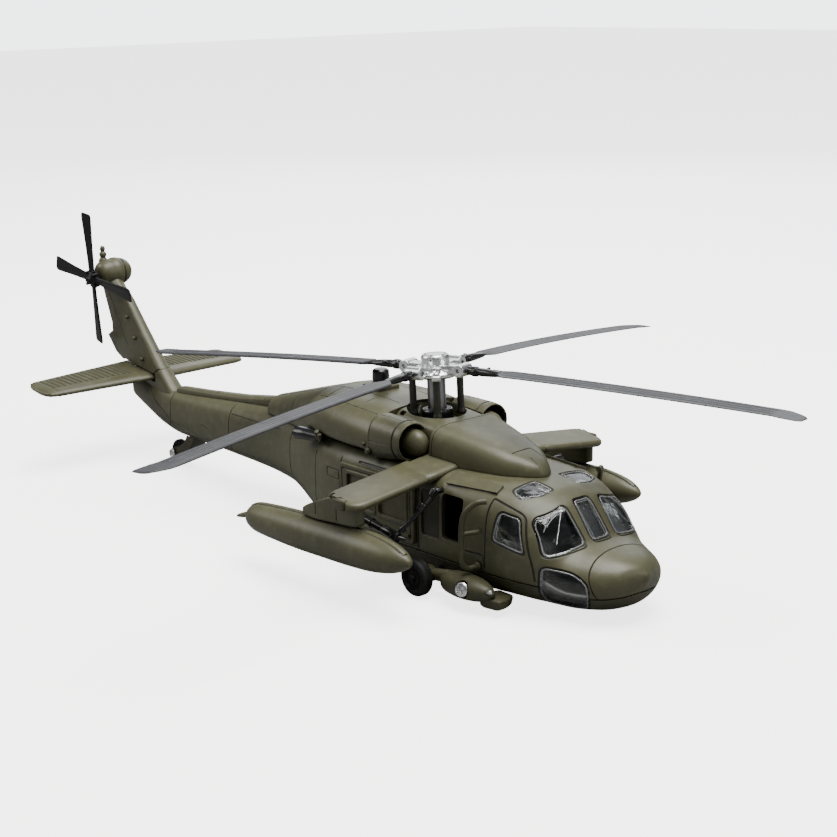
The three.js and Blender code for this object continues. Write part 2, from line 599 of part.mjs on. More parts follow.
const TANK_PROFILE = [ // radius, x
  [0, -24.9], [1.9, -24.5], [2.75, -23.4], [3.4, -20.6], [3.95, -13], [4.25, -4],
  [4.3, 2], [4.3, 13], [3.9, 20.5], [2.6, 27], [1.1, 29.8], [0, 30.5],
];
const tankPart = (geometry) =>
  solid(geometry.rotateY(-rad(TANK.tilt)).translate(0, TANK.y, TANK.z));
const tank = cut(
  sum(
    tankPart(turned(TANK_PROFILE, "x", 14)),
    tankPart(rod([-23.6, 0, 0.3], [-30, 0, -1], 0.9, 8, 0.5)), // tail spike
  ),
  solid(box(-6, 17, TANK.y - 2, TANK.y + 2, 17, 22)), // flat under the pylon
);

// ---- main undercarriage (port side) -----------------------------------------------------------
const mainWheel = turned([
  [AXLE_R + RUN, -1.1], [2.7, -0.9], [3.0, -1.5], [3.9, -1.3], [WHEEL.z, -0.7], [WHEEL.z, 0.7],
  [3.9, 1.3], [3.0, 1.5], [2.7, 0.9], [AXLE_R + RUN, 1.1], [AXLE_R + RUN, -1.1],
], "y", 18);
const mainAxle = crossRod(WHEEL, -24.4, 24.4, AXLE_R, 14);

const POD = [ // x, half width, half height
  [38.5, 0.8, 0.9], [37.0, 2.1, 2.2], [33.5, 3.1, 3.0], [29, 3.3, 3.2], [25.4, 2.7, 2.5],
  [23.8, 1.4, 1.5],
];
const POD_BRACKET = [ // x, y
  [36.0, 14.6], [41.4, 14.6], [42.8, 17.4], [42.6, 20.2], [36.0, 20.9], [34.6, 19.8],
];
const SCREW_AT = [32.2, 22.5, 5.0];
const screwAxis = vec(0.28, 0.93, 0.22).normalize();
const onScrewAxis = (distance) => vec(...SCREW_AT).addScaledVector(screwAxis, distance).toArray();
const gearPod = cut(
  sum(
    loft(POD.map(([x, ry, rz]) => oval(x, ry, rz, 19.6, 4.6, 12))),
    solid(rod([24.6, 19.2, 5.2], [19.0, 19.2, 4.4], 1.5, 12, 1.3)), // leg back to the wheel
    crossRod(WHEEL, 18.2, 20.5, 1.9, 14), // axle boss
    plateXY(POD_BRACKET, 1.6, 3.7),
  ),
  solid(rod(onScrewAxis(-3.4), onScrewAxis(2.5), 1.95)),
  body(HULL, 60, 0, -GAP),
  crossRod(WHEEL, 10, 30, AXLE_R + GAP, 14),
);
// One arm of the cross slot in the screw head.
const screwSlot = (turn) =>
  solid(
    aimed(new THREE.BoxGeometry(2.1, 0.4, 0.42).rotateY(rad(turn)), screwAxis)
      .translate(...onScrewAxis(0.46)),
  );
const podScrew = cut(
  sum(
    solid(rod(onScrewAxis(-3), onScrewAxis(0.2), 0.8, 8)),
    solid(rod(onScrewAxis(-0.2), onScrewAxis(0.55), 1.65, 12, 1.35)),
  ),
  screwSlot(35),
  screwSlot(125),
);

// ---- tail wheel -------------------------------------------------------------------------------
const FORK = [ // x, z
  [-96.5, 10.6], [-100.4, 10.4], [-101.5, 8.2], [-103.9, 6.3], [-107.0, 5.3], [-108.9, 4.5],
  [-109.0, 2.7], [-107.6, 1.9], [-105.0, 2.2], [-101.6, 3.9], [-98.6, 7.4],
];
const tailFork = cut(
  plateXZ(FORK, -2.4, 2.4),
  crossRod(TAIL_WHEEL, -1.55, 1.55, TAIL_WHEEL.z + 0.45, 20),
  crossRod(TAIL_WHEEL, -4, 4, TAIL_PIN_R + 0.25, 12),
  body(HULL, -90, -120, -GAP),
);
const tailWheel = turned([
  [TAIL_PIN_R + RUN, -1.2], [2.9, -1.2], [TAIL_WHEEL.z, -0.6], [TAIL_WHEEL.z, 0.6],
  [2.9, 1.2], [TAIL_PIN_R + RUN, 1.2], [TAIL_PIN_R + RUN, -1.2],
], "y", 16).translate(TAIL_WHEEL.x, 0, TAIL_WHEEL.z);
const tailPin = sum(
  crossRod(TAIL_WHEEL, -3.1, 2.9, TAIL_PIN_R, 12),
  crossRod(TAIL_WHEEL, -3.3, -2.7, 1.3, 16),
  crossRod(TAIL_WHEEL, 2.7, 3.3, 1.3, 16),
);

// ---- rail, gun and door (port side) -----------------------------------------------------------
const RAIL_PATH = [
  [34.2, 17.1, 23.6], [33.2, 19.0, 23.4], [31.4, 20.6, 21.2], [30.6, 20.9, 17.5],
  [30.5, 20.9, 12], [30.5, 20.7, 10.0], [30.7, 19.4, 8.6], [31.2, 17.2, 8.6],
];
const grabRail = cut(
  sum(bar(RAIL_PATH, 0.6, 16), solid(rod([30.6, 20.8, 16.4], [31.8, 17.0, 16.4], 0.5, 6))),
  roofClear,
);
const GUN_ARM = [[20.3, 18.4, 23.2], [19.6, 21.4, 20.2], [17.4, 24.6, 16.4], [15.6, 26.2, 14.2]];
const doorGun = sum(
  bar(GUN_ARM, 0.55, 6),
  solid(rod([20.3, 16.9, 23.2], [20.3, 18.9, 23.2], 0.7, 8)), // pivot
  solid(rod([16.6, 26.4, 13.6], [11.6, 26.5, 14.5], 1.15, 8, 1.0)), // body
  solid(rod([12.4, 26.5, 14.3], [3.4, 26.7, 15.9], 0.85, 8, 1.15)), // barrel
  solid(rod([17.6, 25.2, 13.2], [15.0, 27.4, 14.0], 0.5, 6)), // cross bar at the rear
);
const doorPocket = (x0, x1) => solid(box(x0, x1, DOOR.y + DOOR.t / 2, 18, 13.2, 20.6));
const doorFace = DOOR.y + DOOR.t;
const cabinDoor = sum(
  cut(
    solid(box(DOOR.x0, DOOR.x1, DOOR.y, doorFace, DOOR.z0, DOOR.z1)),
    doorPocket(-11.6, -2.2),
    doorPocket(-0.6, 8.6),
  ),
  solid(box(7.4, 10.0, doorFace - 0.2, doorFace + 0.5, 10.2, 10.9)), // handle
);

// ---- interior ---------------------------------------------------------------------------------
const SEAT_BACK = [[28.0, FLOOR_Z], [30.6, FLOOR_Z], [29.4, 20.4], [27.4, 20.4]]; // x, z
const PANEL = [[43.4, FLOOR_Z], [46.4, FLOOR_Z], [47.4, 14.9], [44.8, 16.4], [43.0, 16.2]]; // x, z
const seat = (y) => sum(
  solid(box(29.6, 36.2, y - 2.9, y + 2.9, FLOOR_Z, 12.2)),
  plateXZ(SEAT_BACK, y - 2.8, y + 2.8),
);
const interior = sum(
  body(HULL, 52, -30, WALL + 0.45).intersect(solid(box(-28, 50, -18, 18, 8, FLOOR_Z + 0.2))),
  body(HULL, 0, -25, WALL + 0.45).intersect(solid(box(-17.4, -16, -18, 18, FLOOR_Z, 24.6))),
  body(HULL, 50, 40, WALL + 0.6).intersect(plateXZ(PANEL, -11.4, 11.4)),
  seat(6.4),
  seat(-6.4),
);

// ---- main rotor, built round the upright axis at its height above the ground ------------------
const mast = drum(MAST_R, ...MAST_Z, 20);
const COLLAR = [[0, 31.8], [3.6, 31.8], [3.6, 34.6], [3.3, 34.9], [0, 34.9]]; // radius, z
const mastCollar = cut(solid(turned(COLLAR, "z", 22)), drum(MAST_R + RUN, ...MAST_Z, 20));

const HUB = [ // radius, z
  [0, 42.0], [4.4, 42.0], [5.0, 42.5], [5.0, 43.3], [3.6, 43.9], [3.2, 45.4], [0, 45.4],
];
const HUB_TOP = [[0, 45.2], [3.2, 45.2], [3.2, 46.9], [2.6, 47.5], [0, 47.5]]; // radius, z
const hinge = (halfLength, radius) =>
  rod([HINGE.r, -halfLength, HINGE.z], [HINGE.r, halfLength, HINGE.z], radius, 8);
function pitchLink(azimuth) {
  const at = (z) => [LINK_R * Math.cos(rad(azimuth)), LINK_R * Math.sin(rad(azimuth)), z];
  return sum(
    solid(rod(at(33.9), at(42.4), 0.78, 8)),
    solid(rod(at(33.2), at(34.4), 1.05, 8, 0.85)),
  );
}
const quarters = [0, 90, 180, 270];
const rotorHub = sum(
  solid(turned(HUB, "z", 14)),
  solid(turned(HUB_TOP, "z", 12)),
  ...quarters.flatMap((turn) => [
    solid(box(2.5, 8.6, -1.5, 1.5, 43.0, 45.2).rotateZ(rad(BLADE_AZ + turn))),
    solid(hinge(1.9, 1.45).rotateZ(rad(BLADE_AZ + turn))),
    solid(box(1.5, 6.3, -1.2, 1.2, 42.0, 43.2).rotateZ(rad(LINK_AZ + turn))),
  ]),
  ...quarters.map((turn) => pitchLink(LINK_AZ + turn)),
);

const BLADE = [ // x, leading y, trailing y, half thickness
  [BLADE_ROOT, 1.0, -1.0, 0.95], [15.5, 1.0, -1.0, 0.9], [18.0, 1.5, -1.6, 0.5],
  [19.6, 2.9, -2.9, 0.42], [40, 2.9, -2.9, 0.42], [60, 2.9, -2.9, 0.4], [74, 2.9, -2.9, 0.38],
  [84.6, 2.9, -2.9, 0.34], [ROTOR_R, 0.3, -3.3, 0.25],
];
// A blade with its cuff, along +X, sagging to the tip.
function rotorBlade(sag) {
  const rings = BLADE.map(([x, lead, trail, t]) => {
    const share = (x - BLADE_ROOT) / (ROTOR_R - BLADE_ROOT);
    const base = HINGE.z - sag * share ** 1.55;
    const chord = lead - trail;
    const outline = [
      [lead, 0], [lead - chord * 0.12, t], [lead - chord * 0.5, t * 1.1],
      [trail, 0], [lead - chord * 0.5, -t * 0.7], [lead - chord * 0.12, -t * 0.8],
    ];
    return outline.map(([y, z]) => [x, y, base + z]);
  });
  return cut(loft(rings), solid(hinge(2.3, 1.45 + GAP)));
}

// ---- tail rotor, built round +Z ---------------------------------------------------------------
const TAIL_BLADE = [ // x, half chord, thickness scale
  [0.5, 0.55, 0.5], [3.4, 0.6, 0.5], [5.4, 1.3, 0.35], [9, 1.9, 0.32], [18.6, 2.15, 0.28],
  [TAIL_R, 1.5, 0.22],
];
function tailBlade(turn) {
  const rings = TAIL_BLADE.map(([x, w, t]) => [
    [x, w, -t * 0.3], [x, w * 0.4, t], [x, -w, t * 0.5], [x, -w, -t * 0.2], [x, 0, -t],
  ]);
  return solid(skin(rings).rotateZ(rad(turn)));
}
const TAIL_HUB_PROFILE = [ // radius, z
  [0, -1.2], [2.1, -1.0], [2.1, 0.6], [1.3, 1.2], [0.9, 1.9], [0, 2.0],
];
const tailRotor = cut(
  sum(solid(turned(TAIL_HUB_PROFILE, "z", 12)), ...quarters.map(tailBlade)),
  solid(rod([0, 0, -2], [0, 0, 0.4], TAIL_SHAFT_R + RUN)),
);

// ---- materials --------------------------------------------------------------------------------
const finish = (settings) => new THREE.MeshStandardMaterial(settings);
const paint = finish({ color: 0x5c5a3d, roughness: 0.42, metalness: 0.25 });
const plastic = finish({ color: 0x57563a, roughness: 0.55, metalness: 0 });
const black = finish({ color: 0x17181a, roughness: 0.45, metalness: 0 });
const grey = finish({ color: 0x4a4b50, roughness: 0.5, metalness: 0.05 });
const silver = finish({ color: 0xd9dbdd, roughness: 0.22, metalness: 0.9 });
const rubber = finish({ color: 0x151515, roughness: 0.8, metalness: 0 });
const clear = finish({
  color: 0xdfe4e8, roughness: 0.05, metalness: 0, transparent: true, opacity: 0.35,
});

// ---- assembly ---------------------------------------------------------------------------------
const helicopter = new THREE.Group();

function addGeometry(name, geometry, material, group = helicopter) {
  const mesh = new THREE.Mesh(geometry, material);
  mesh.name = name;
  group.add(mesh);
}
const add = (name, made, material, group) => addGeometry(name, shape(made), material, group);
// Adds a port piece and its mirror image.
function pair(name, made, material) {
  const geometry = shape(made);
  addGeometry(`${name}_left`, geometry, material);
  addGeometry(`${name}_right`, mirrored(geometry), material);
}

add("upper_body_shell", upperShell, paint);
add("belly_shell", bellyShell, plastic);
add("nose_cap", noseCap, paint);
add("boom_front_section", boomFront, paint);
add("tail_boom", tailBoom, paint);
add("tail_fin", tailFin, paint);
add("tail_gearbox", tailGearbox, paint);
add("stabilator", stabilator, paint);
add("front_fairing", frontFairing, paint);
add("mast_deck", mastDeck, paint);
add("engine_bay_cover", engineBayCover, paint);
add("spine_fairing", spineFairing, paint);
add("boom_top_cover", boomTopCover, paint);
add("top_cap", topCap, black);
pair("engine_nacelle", nacelle, paint);
pair("inlet_plug", inletPlug, paint);
pair("exhaust_pipe", exhaustPipe, black);
pair("wing", wing, paint);
pair("wing_pylon", pylon, paint);
pair("fuel_tank", tank, paint);
pair("gear_pod", gearPod, plastic);
pair("pod_screw", podScrew, silver);
for (const [name, side] of Object.entries(SIDES)) {
  const wheel = mainWheel.clone().translate(WHEEL.x, side * WHEEL.y, WHEEL.z);
  addGeometry(`main_wheel_${name}`, wheel, rubber);
}
add("main_axle", mainAxle, silver);
add("tail_wheel_fork", tailFork, plastic);
addGeometry("tail_wheel", tailWheel, rubber);
add("tail_wheel_pin", tailPin, silver);
pair("grab_rail", grabRail, plastic);
pair("door_gun", doorGun, black);
pair("cabin_door", cabinDoor, paint);
for (const [name, pane] of Object.entries(panes)) add(name, pane, clear);
add("interior_tub", interior, black);

// The rotor group turns about the foot of the mast, so its pieces are lowered to that point.
const rotor = new THREE.Group();
rotor.position.set(...ROTOR_FOOT);
rotor.rotation.y = -rad(ROTOR_TILT);
helicopter.add(rotor);
function addToRotor(name, made, material, azimuth = 0) {
  const geometry = shape(made).translate(0, 0, -ROTOR_FOOT[2]).rotateZ(rad(azimuth));
  addGeometry(name, geometry, material, rotor);
}
addToRotor("mast_collar", mastCollar, silver);
addToRotor("rotor_hub", rotorHub, silver);
addToRotor("rotor_mast", mast, silver);
Object.entries(BLADE_SAG).forEach(([name, sag], i) => {
  addToRotor(`rotor_blade_${name}`, rotorBlade(sag), grey, BLADE_AZ + 90 * i);
});

// The outer group faces starboard along the canted axis, the inner one turns about it.
const tail = new THREE.Group();
tail.position.set(...TAIL_HUB);
tail.quaternion.setFromUnitVectors(vec(0, 0, 1), tailAxis);
helicopter.add(tail);
const spin = new THREE.Group();
spin.rotation.z = rad(TAIL_AZ);
tail.add(spin);
add("tail_rotor", tailRotor, black, spin);

helicopter.position.z = -FLAT_Z;

export default helicopter;
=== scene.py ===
import json
import math

import bpy
import numpy as np
from mathutils import Matrix, Vector


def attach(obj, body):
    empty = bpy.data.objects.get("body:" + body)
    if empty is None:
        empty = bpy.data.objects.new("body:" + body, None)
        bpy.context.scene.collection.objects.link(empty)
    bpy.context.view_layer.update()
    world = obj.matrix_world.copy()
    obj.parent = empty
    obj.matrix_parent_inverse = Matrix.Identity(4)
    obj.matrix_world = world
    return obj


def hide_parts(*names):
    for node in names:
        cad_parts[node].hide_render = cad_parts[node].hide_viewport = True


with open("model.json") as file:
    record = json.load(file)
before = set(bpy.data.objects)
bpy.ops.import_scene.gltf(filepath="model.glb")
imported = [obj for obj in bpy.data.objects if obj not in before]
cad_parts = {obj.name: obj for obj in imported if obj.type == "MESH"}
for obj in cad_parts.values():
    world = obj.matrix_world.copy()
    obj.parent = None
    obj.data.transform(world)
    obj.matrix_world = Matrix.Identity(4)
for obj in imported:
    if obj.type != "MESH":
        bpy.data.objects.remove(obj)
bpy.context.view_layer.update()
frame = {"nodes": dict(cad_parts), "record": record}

FLAT_Z = 1.9
GAP = 0.3
WALL = 1.1
SEAM_Z = 7.3
CAP_X, CAP_RAKE = 55.4, 0.37
BOOM_X, TAIL_X = -43.4, -75.0
FOLD_A, FOLD_B = (-106.1, 22.6), (-106.4, 13.0)
ROTOR_R, ROTOR_TILT, ROTOR_FOOT = 91.0, 2.4, (0.15, 0.0, 34.0)
BLADE_AZ, BLADE_SAG, LINK_R = 11.5, (2.9, 5.0, 2.9, 3.8), 5.4
STAB_Z, STAB_SLOPE, STAB_DROOP = 23.1, 0.1, 0.028
TAIL_HUB, TAIL_R, TAIL_CANT, TAIL_AZ = (-138.8, -6.1, 49.1), 19.3, 7.5, -8.0
WHEEL = dict(x=18.0, y=22.6, z=4.2, r=4.2)
AXLE_R = 0.75
TAIL_WHEEL = (-107.4, 0.0, 3.5)
TANK_Y, TANK_Z, TANK_TILT = 35.0, 12.25, 1.9
WING = dict(y0=9.0, y1=38.4, te=7.0, le=17.2, z0=27.3, z1=23.8, t=2.1, w=0.5)
ENG_Y, ENG_Z, ENG_FRONT, ENG_BACK = 12.3, 30.1, 5.6, -5.1
PLUG_Y, PLUG_Z = 11.4, 29.75
CAP_AT = (-19.8, 0.0)
SCREW_AT, SCREW_DIR = (32.2, 22.5, 5.0), (0.28, 0.93, 0.22)

# x, bottom z, top z, half width, height of the widest point, upper and lower squareness
HULL = [
    (64.2, 9.7, 10.7, 0.35, 10.2, 2.0, 2.0), (64.0, 9.2, 11.15, 0.95, 10.2, 2.0, 2.0),
    (63.6, 8.45, 11.6, 1.9, 10.1, 2.0, 2.0), (62.9, 6.9, 12.35, 3.95, 9.7, 2.0, 2.0), (61.7, 4.6, 13.0, 6.6, 9.0, 2.1, 2.0),
    (59.4, 2.9, 13.8, 9.0, 8.5, 2.2, 2.1), (56.0, 1.8, 14.6, 11.1, 8.3, 2.2, 2.3), (51.6, 1.4, 15.5, 13.1, 8.8, 2.3, 2.6),
    (48.3, 1.35, 19.2, 14.3, 10.4, 2.35, 2.8), (45.0, 1.35, 22.9, 15.1, 11.6, 2.5, 3.0), (43.0, 1.4, 23.9, 15.5, 12.0, 2.6, 3.2),
    (40.6, 1.5, 24.8, 15.9, 12.4, 2.9, 3.4), (36.5, 1.6, 25.4, 16.3, 13.0, 3.6, 3.8), (31.0, 1.6, 25.7, 16.5, 13.0, 4.8, 4.2),
    (20.0, 1.6, 25.8, 16.6, 13.0, 5.6, 4.4), (0.0, 1.6, 25.8, 16.6, 13.0, 5.6, 4.4), (-14.0, 1.6, 25.8, 16.5, 13.0, 5.4, 4.2),
    (-22.0, 2.2, 25.9, 15.6, 13.4, 4.8, 3.8), (-28.0, 3.3, 26.0, 14.3, 14.0, 4.2, 3.4), (-34.4, 4.6, 26.0, 12.5, 15.0, 3.6, 3.0),
    (-40.0, 6.0, 25.9, 10.9, 15.8, 3.2, 2.7), (-47.0, 7.5, 25.6, 9.2, 16.4, 3.0, 2.5), (-59.0, 8.5, 24.9, 7.5, 16.6, 2.9, 2.5),
    (-75.0, 8.9, 23.6, 6.1, 16.2, 2.8, 2.5), (-92.0, 9.1, 22.1, 4.7, 15.6, 2.7, 2.5), (-104.0, 9.3, 21.2, 3.8, 15.2, 2.6, 2.5),
    (-112.0, 10.6, 21.0, 3.2, 15.8, 2.5, 2.5), (-120.0, 13.2, 21.8, 2.6, 17.4, 2.4, 2.4), (-127.8, 16.0, 23.0, 1.9, 19.2, 2.2, 2.2),
]
FAIRING = [
    (34.9, 24.9, 26.3, 0.5, 24.8, 2.2, 2.4), (34.5, 24.7, 27.2, 1.6, 24.7, 2.4, 2.4), (33.2, 24.5, 28.25, 3.2, 24.5, 2.6, 2.4),
    (31.0, 24.3, 29.25, 4.9, 24.3, 2.9, 2.4), (28.6, 24.2, 30.05, 6.4, 24.2, 3.3, 2.4), (24.0, 24.2, 31.3, 7.9, 24.2, 3.8, 2.4),
    (19.0, 24.2, 32.3, 8.9, 24.2, 4.4, 2.4), (9.2, 24.2, 33.9, 10.8, 24.2, 5.6, 2.4),
]
DECK = [(8.8, 26.1, 33.6, 8.6, 26.1, 5.6, 2.4), (0.0, 26.1, 34.5, 8.6, 26.1, 5.8, 2.4), (-5.6, 26.1, 35.0, 8.6, 26.1, 5.8, 2.4)]
BAY = [
    (-5.4, 24.6, 35.2, 15.9, 27.2, 2.9, 2.2), (-12.0, 24.6, 35.9, 15.9, 27.4, 2.9, 2.2), (-20.0, 24.6, 36.2, 15.2, 27.4, 2.9, 2.2),
    (-28.0, 24.6, 36.0, 13.8, 27.4, 2.8, 2.2), (-33.0, 24.6, 35.1, 12.4, 27.4, 2.7, 2.2),
]
SPINE = [
    (-33.4, 24.0, 35.0, 10.4, 24.2, 2.6, 2.2), (-40.0, 24.0, 33.3, 9.0, 24.2, 2.5, 2.2), (-50.0, 24.0, 30.6, 7.0, 24.2, 2.4, 2.2),
    (-58.5, 24.0, 28.3, 5.2, 24.2, 2.3, 2.2),
]
BOOM_COVER = [(-59.1, 27.6, 2.3), (-63, 26.9, 2.2), (-75, 25.2, 2.0), (-92, 23.6, 1.7), (-104, 22.7, 1.5), (-106.5, 22.2, 1.3)]
# fin sections: front x, back x, z, half thickness
FIN = [
    (-103.5, -126.0, 16.5, 2.5), (-107.6, -129.0, 21.3, 2.3), (-110.8, -131.6, 24.2, 2.15), (-114.2, -138.2, 27.4, 2.0),
    (-117.2, -140.9, 30.4, 1.85), (-118.5, -142.2, 31.8, 1.8), (-119.9, -139.6, 33.3, 1.75), (-122.0, -139.6, 35.6, 1.65),
    (-128.6, -142.6, 43.2, 1.4), (-130.9, -143.3, 45.3, 1.35),
]

# ---- mesh helpers ---------------------------------------------------------------------------------


def mesh(V, F):
    me = bpy.data.meshes.new("m")
    me.from_pydata(np.asarray(V, float).reshape(-1, 3).tolist(), [], [list(f) for f in F])
    return me


def boolean(me, cutters, op="DIFFERENCE", solver="MANIFOLD"):
    """me with the cutters taken away (or joined, or kept in common), as a new mesh in the same units."""
    cutters = [c for c in cutters if c is not None]
    if not cutters:
        return me
    if op == "UNION" and len(cutters) > 1 and solver == "MANIFOLD":
        pass
    scene = bpy.context.scene
    group = bpy.data.collections.new("cutters")
    scene.collection.children.link(group)
    base = bpy.data.objects.new("base", me)
    scene.collection.objects.link(base)
    tools = []
    for c in cutters:
        o = bpy.data.objects.new("cutter", c)
        group.objects.link(o)
        tools.append(o)
    mod = base.modifiers.new("b", "BOOLEAN")
    mod.operation, mod.solver = op, solver
    if len(tools) == 1:
        mod.operand_type, mod.object = "OBJECT", tools[0]
    else:
        mod.operand_type, mod.collection = "COLLECTION", group
    graph = bpy.context.evaluated_depsgraph_get()
    made = bpy.data.meshes.new_from_object(base.evaluated_get(graph))
    for o in [base] + tools:
        bpy.data.objects.remove(o)
    bpy.data.collections.remove(group)
    if not len(made.polygons):
        raise RuntimeError("a boolean gave nothing")
    return made


def join(parts):
    """Several closed bodies as one mesh, united where they touch."""
    return boolean(parts[0], list(parts[1:]), "UNION") if len(parts) > 1 else parts[0]


def arrays(me):
    v = np.empty(len(me.vertices) * 3, np.float64)
    me.vertices.foreach_get("co", v)
    return v.reshape(-1, 3)


def moved(me, fn):
    """A copy of me with fn applied to its points (N x 3)."""
    out = me.copy()
    out.vertices.foreach_set("co", np.ascontiguousarray(fn(arrays(me)), np.float32).ravel())
    return out


def mirror(me):
    out = moved(me, lambda p: p * [1, -1, 1])
    out.flip_normals()
    return out


def side(me, s):
    return me.copy() if s > 0 else mirror(me)


def rot(axis, degrees):
    return np.array(Matrix.Rotation(math.radians(degrees), 3, axis))


def skin(rings, closed=True, loop=False):
    """Closed skin over rings with equal point counts; loop joins the last ring to the first."""
    R = [np.asarray(r, float) for r in rings]
    n, m = len(R[0]), len(R)
    V = np.concatenate(R)
    F = []
    for i in range(m if loop else m - 1):
        a0, b0 = i * n, ((i + 1) % m) * n
        for j in range(n):
            k = (j + 1) % n
            F.append((a0 + j, a0 + k, b0 + k, b0 + j))
    if not loop:
        F.append(tuple(range(n))[::-1])
        F.append(tuple(range((m - 1) * n, m * n)))
    me = mesh(V, F)
    if volume(me) < 0:
        me.flip_normals()
    return me


def volume(me):
    me.calc_loop_triangles()
    t = np.empty(len(me.loop_triangles) * 3, np.int32)
    me.loop_triangles.foreach_get("vertices", t)
    p = arrays(me)[t.reshape(-1, 3)]
    return float(np.einsum("ij,ij->i", p[:, 0], np.cross(p[:, 1], p[:, 2])).sum() / 6)


def extrude(points, axis, a, b):
    """A plate: points are (x, z) for axis y, (x, y) for axis z, (y, z) for axis x."""
    P = np.asarray(points, float)
    n = len(P)

    def at(t):
        q = np.full((n, 1), float(t))
        return {"y": np.hstack([P[:, :1], q, P[:, 1:]]), "z": np.hstack([P, q]), "x": np.hstack([q, P])}[axis]

    return skin([at(a), at(b)])


def box(x0, x1, y0, y1, z0, z1):
    return extrude([(x0, y0), (x1, y0), (x1, y1), (x0, y1)], "z", z0, z1)


def rounded(points, r, n=5, closed=True):
    """A path with its corners rounded."""
    P = [np.asarray(p, float) for p in points]
    out, m = [], len(P)
    for i in range(m):
        if not closed and i in (0, m - 1):
            out.append(P[i])
            continue
        p, a, b = P[i], P[(i - 1) % m], P[(i + 1) % m]
        la, lb = np.linalg.norm(a - p), np.linalg.norm(b - p)
        rr = r[i] if isinstance(r, (list, tuple)) else r
        d = min(rr, 0.48 * la, 0.48 * lb)
        s, e = p + (a - p) / la * d, p + (b - p) / lb * d
        for k in range(n + 1):
            t = k / n
            out.append((1 - t) ** 2 * s + 2 * t * (1 - t) * p + t * t * e)
    return out


def shrink(points, d):
    c = np.mean(points, axis=0)
    return [tuple(c + (np.asarray(p) - c) * (np.linalg.norm(np.asarray(p) - c) - d) / np.linalg.norm(np.asarray(p) - c)) for p in points]


def inset(points, d):
    """A closed plane path moved inwards by d (outwards when negative), whatever its direction."""
    P = np.asarray(points, float)
    area = 0.5 * np.sum(P[:, 0] * np.roll(P[:, 1], -1) - np.roll(P[:, 0], -1) * P[:, 1])
    e = np.roll(P, -1, 0) - P
    e /= np.linalg.norm(e, axis=1)[:, None] + 1e-12
    nrm = np.stack([-e[:, 1], e[:, 0]], 1) * (1 if area > 0 else -1)
    prev = np.roll(nrm, 1, 0)
    m = nrm + prev
    m /= np.sum(m * m, 1)[:, None] / 2 + 1e-9
    return [tuple(p) for p in P + m * d]


def frames(path, up=None):
    P = np.asarray(path, float)
    T = np.gradient(P, axis=0)
    T /= np.linalg.norm(T, axis=1)[:, None]
    if up is None:
        ref = np.array([0, 0, 1.0]) if abs(T[0][2]) < 0.9 else np.array([1.0, 0, 0])
        ups, u = [], np.cross(np.cross(T[0], ref), T[0])
        for t in T:
            u = u - t * np.dot(u, t)
            u /= np.linalg.norm(u)
            ups.append(u.copy())
        up = np.array(ups)
    else:
        up = np.broadcast_to(np.asarray(up, float), P.shape).copy()
        up -= T * np.sum(up * T, 1)[:, None]
        up /= np.linalg.norm(up, axis=1)[:, None]
    return P, T, up, np.cross(T, up)


def sweep(path, r, segs=12, up=None, loop=False, flat=1.0, twist=0.0):
    """A bar along a path; r may be one radius or one for each point; flat squeezes it along its up direction."""
    if loop:
        P = np.asarray(path, float)
        T = np.roll(P, -1, 0) - np.roll(P, 1, 0)
        T /= np.linalg.norm(T, axis=1)[:, None]
        N = np.broadcast_to(np.asarray(up, float), P.shape).copy()
        N -= T * np.sum(N * T, 1)[:, None]
        N /= np.linalg.norm(N, axis=1)[:, None]
        S = np.cross(T, N)
    else:
        P, T, N, S = frames(path, up)
    rr = np.broadcast_to(np.asarray(r, float), (len(P),))
    a = np.arange(segs) / segs * 2 * math.pi + math.radians(twist)
    rings = [P[i] + rr[i] * (np.cos(a)[:, None] * N[i] * flat + np.sin(a)[:, None] * S[i]) for i in range(len(P))]
    return skin(rings, loop=loop)


def smooth(points, n=8):
    """Catmull-Rom points through a path."""
    P = [np.asarray(p, float) for p in points]
    P = [2 * P[0] - P[1]] + P + [2 * P[-1] - P[-2]]
    out = []
    for i in range(1, len(P) - 2):
        for k in range(n):
            t = k / n
            a, b, c, d = P[i - 1], P[i], P[i + 1], P[i + 2]
            out.append(0.5 * (2 * b + (c - a) * t + (2 * a - 5 * b + 4 * c - d) * t * t + (3 * b - a - 3 * c + d) * t ** 3))
    out.append(P[-2])
    return out


def rod(a, b, r0, r1=None, segs=32, round_end=0.0):
    """A straight bar from a to b with softened ends."""
    a, b = np.asarray(a, float), np.asarray(b, float)
    r1 = r0 if r1 is None else r1
    L = np.linalg.norm(b - a)
    e = min(round_end or 0.12 * min(r0, r1), 0.3 * L)
    st = [(0, r0 - e), (e * 0.3, r0 - e * 0.3), (e, r0), (L - e, r1), (L - e * 0.3, r1 - e * 0.3), (L, r1 - e)]
    d = (b - a) / L
    return sweep([a + d * s for s, _ in st], [r for _, r in st], segs)


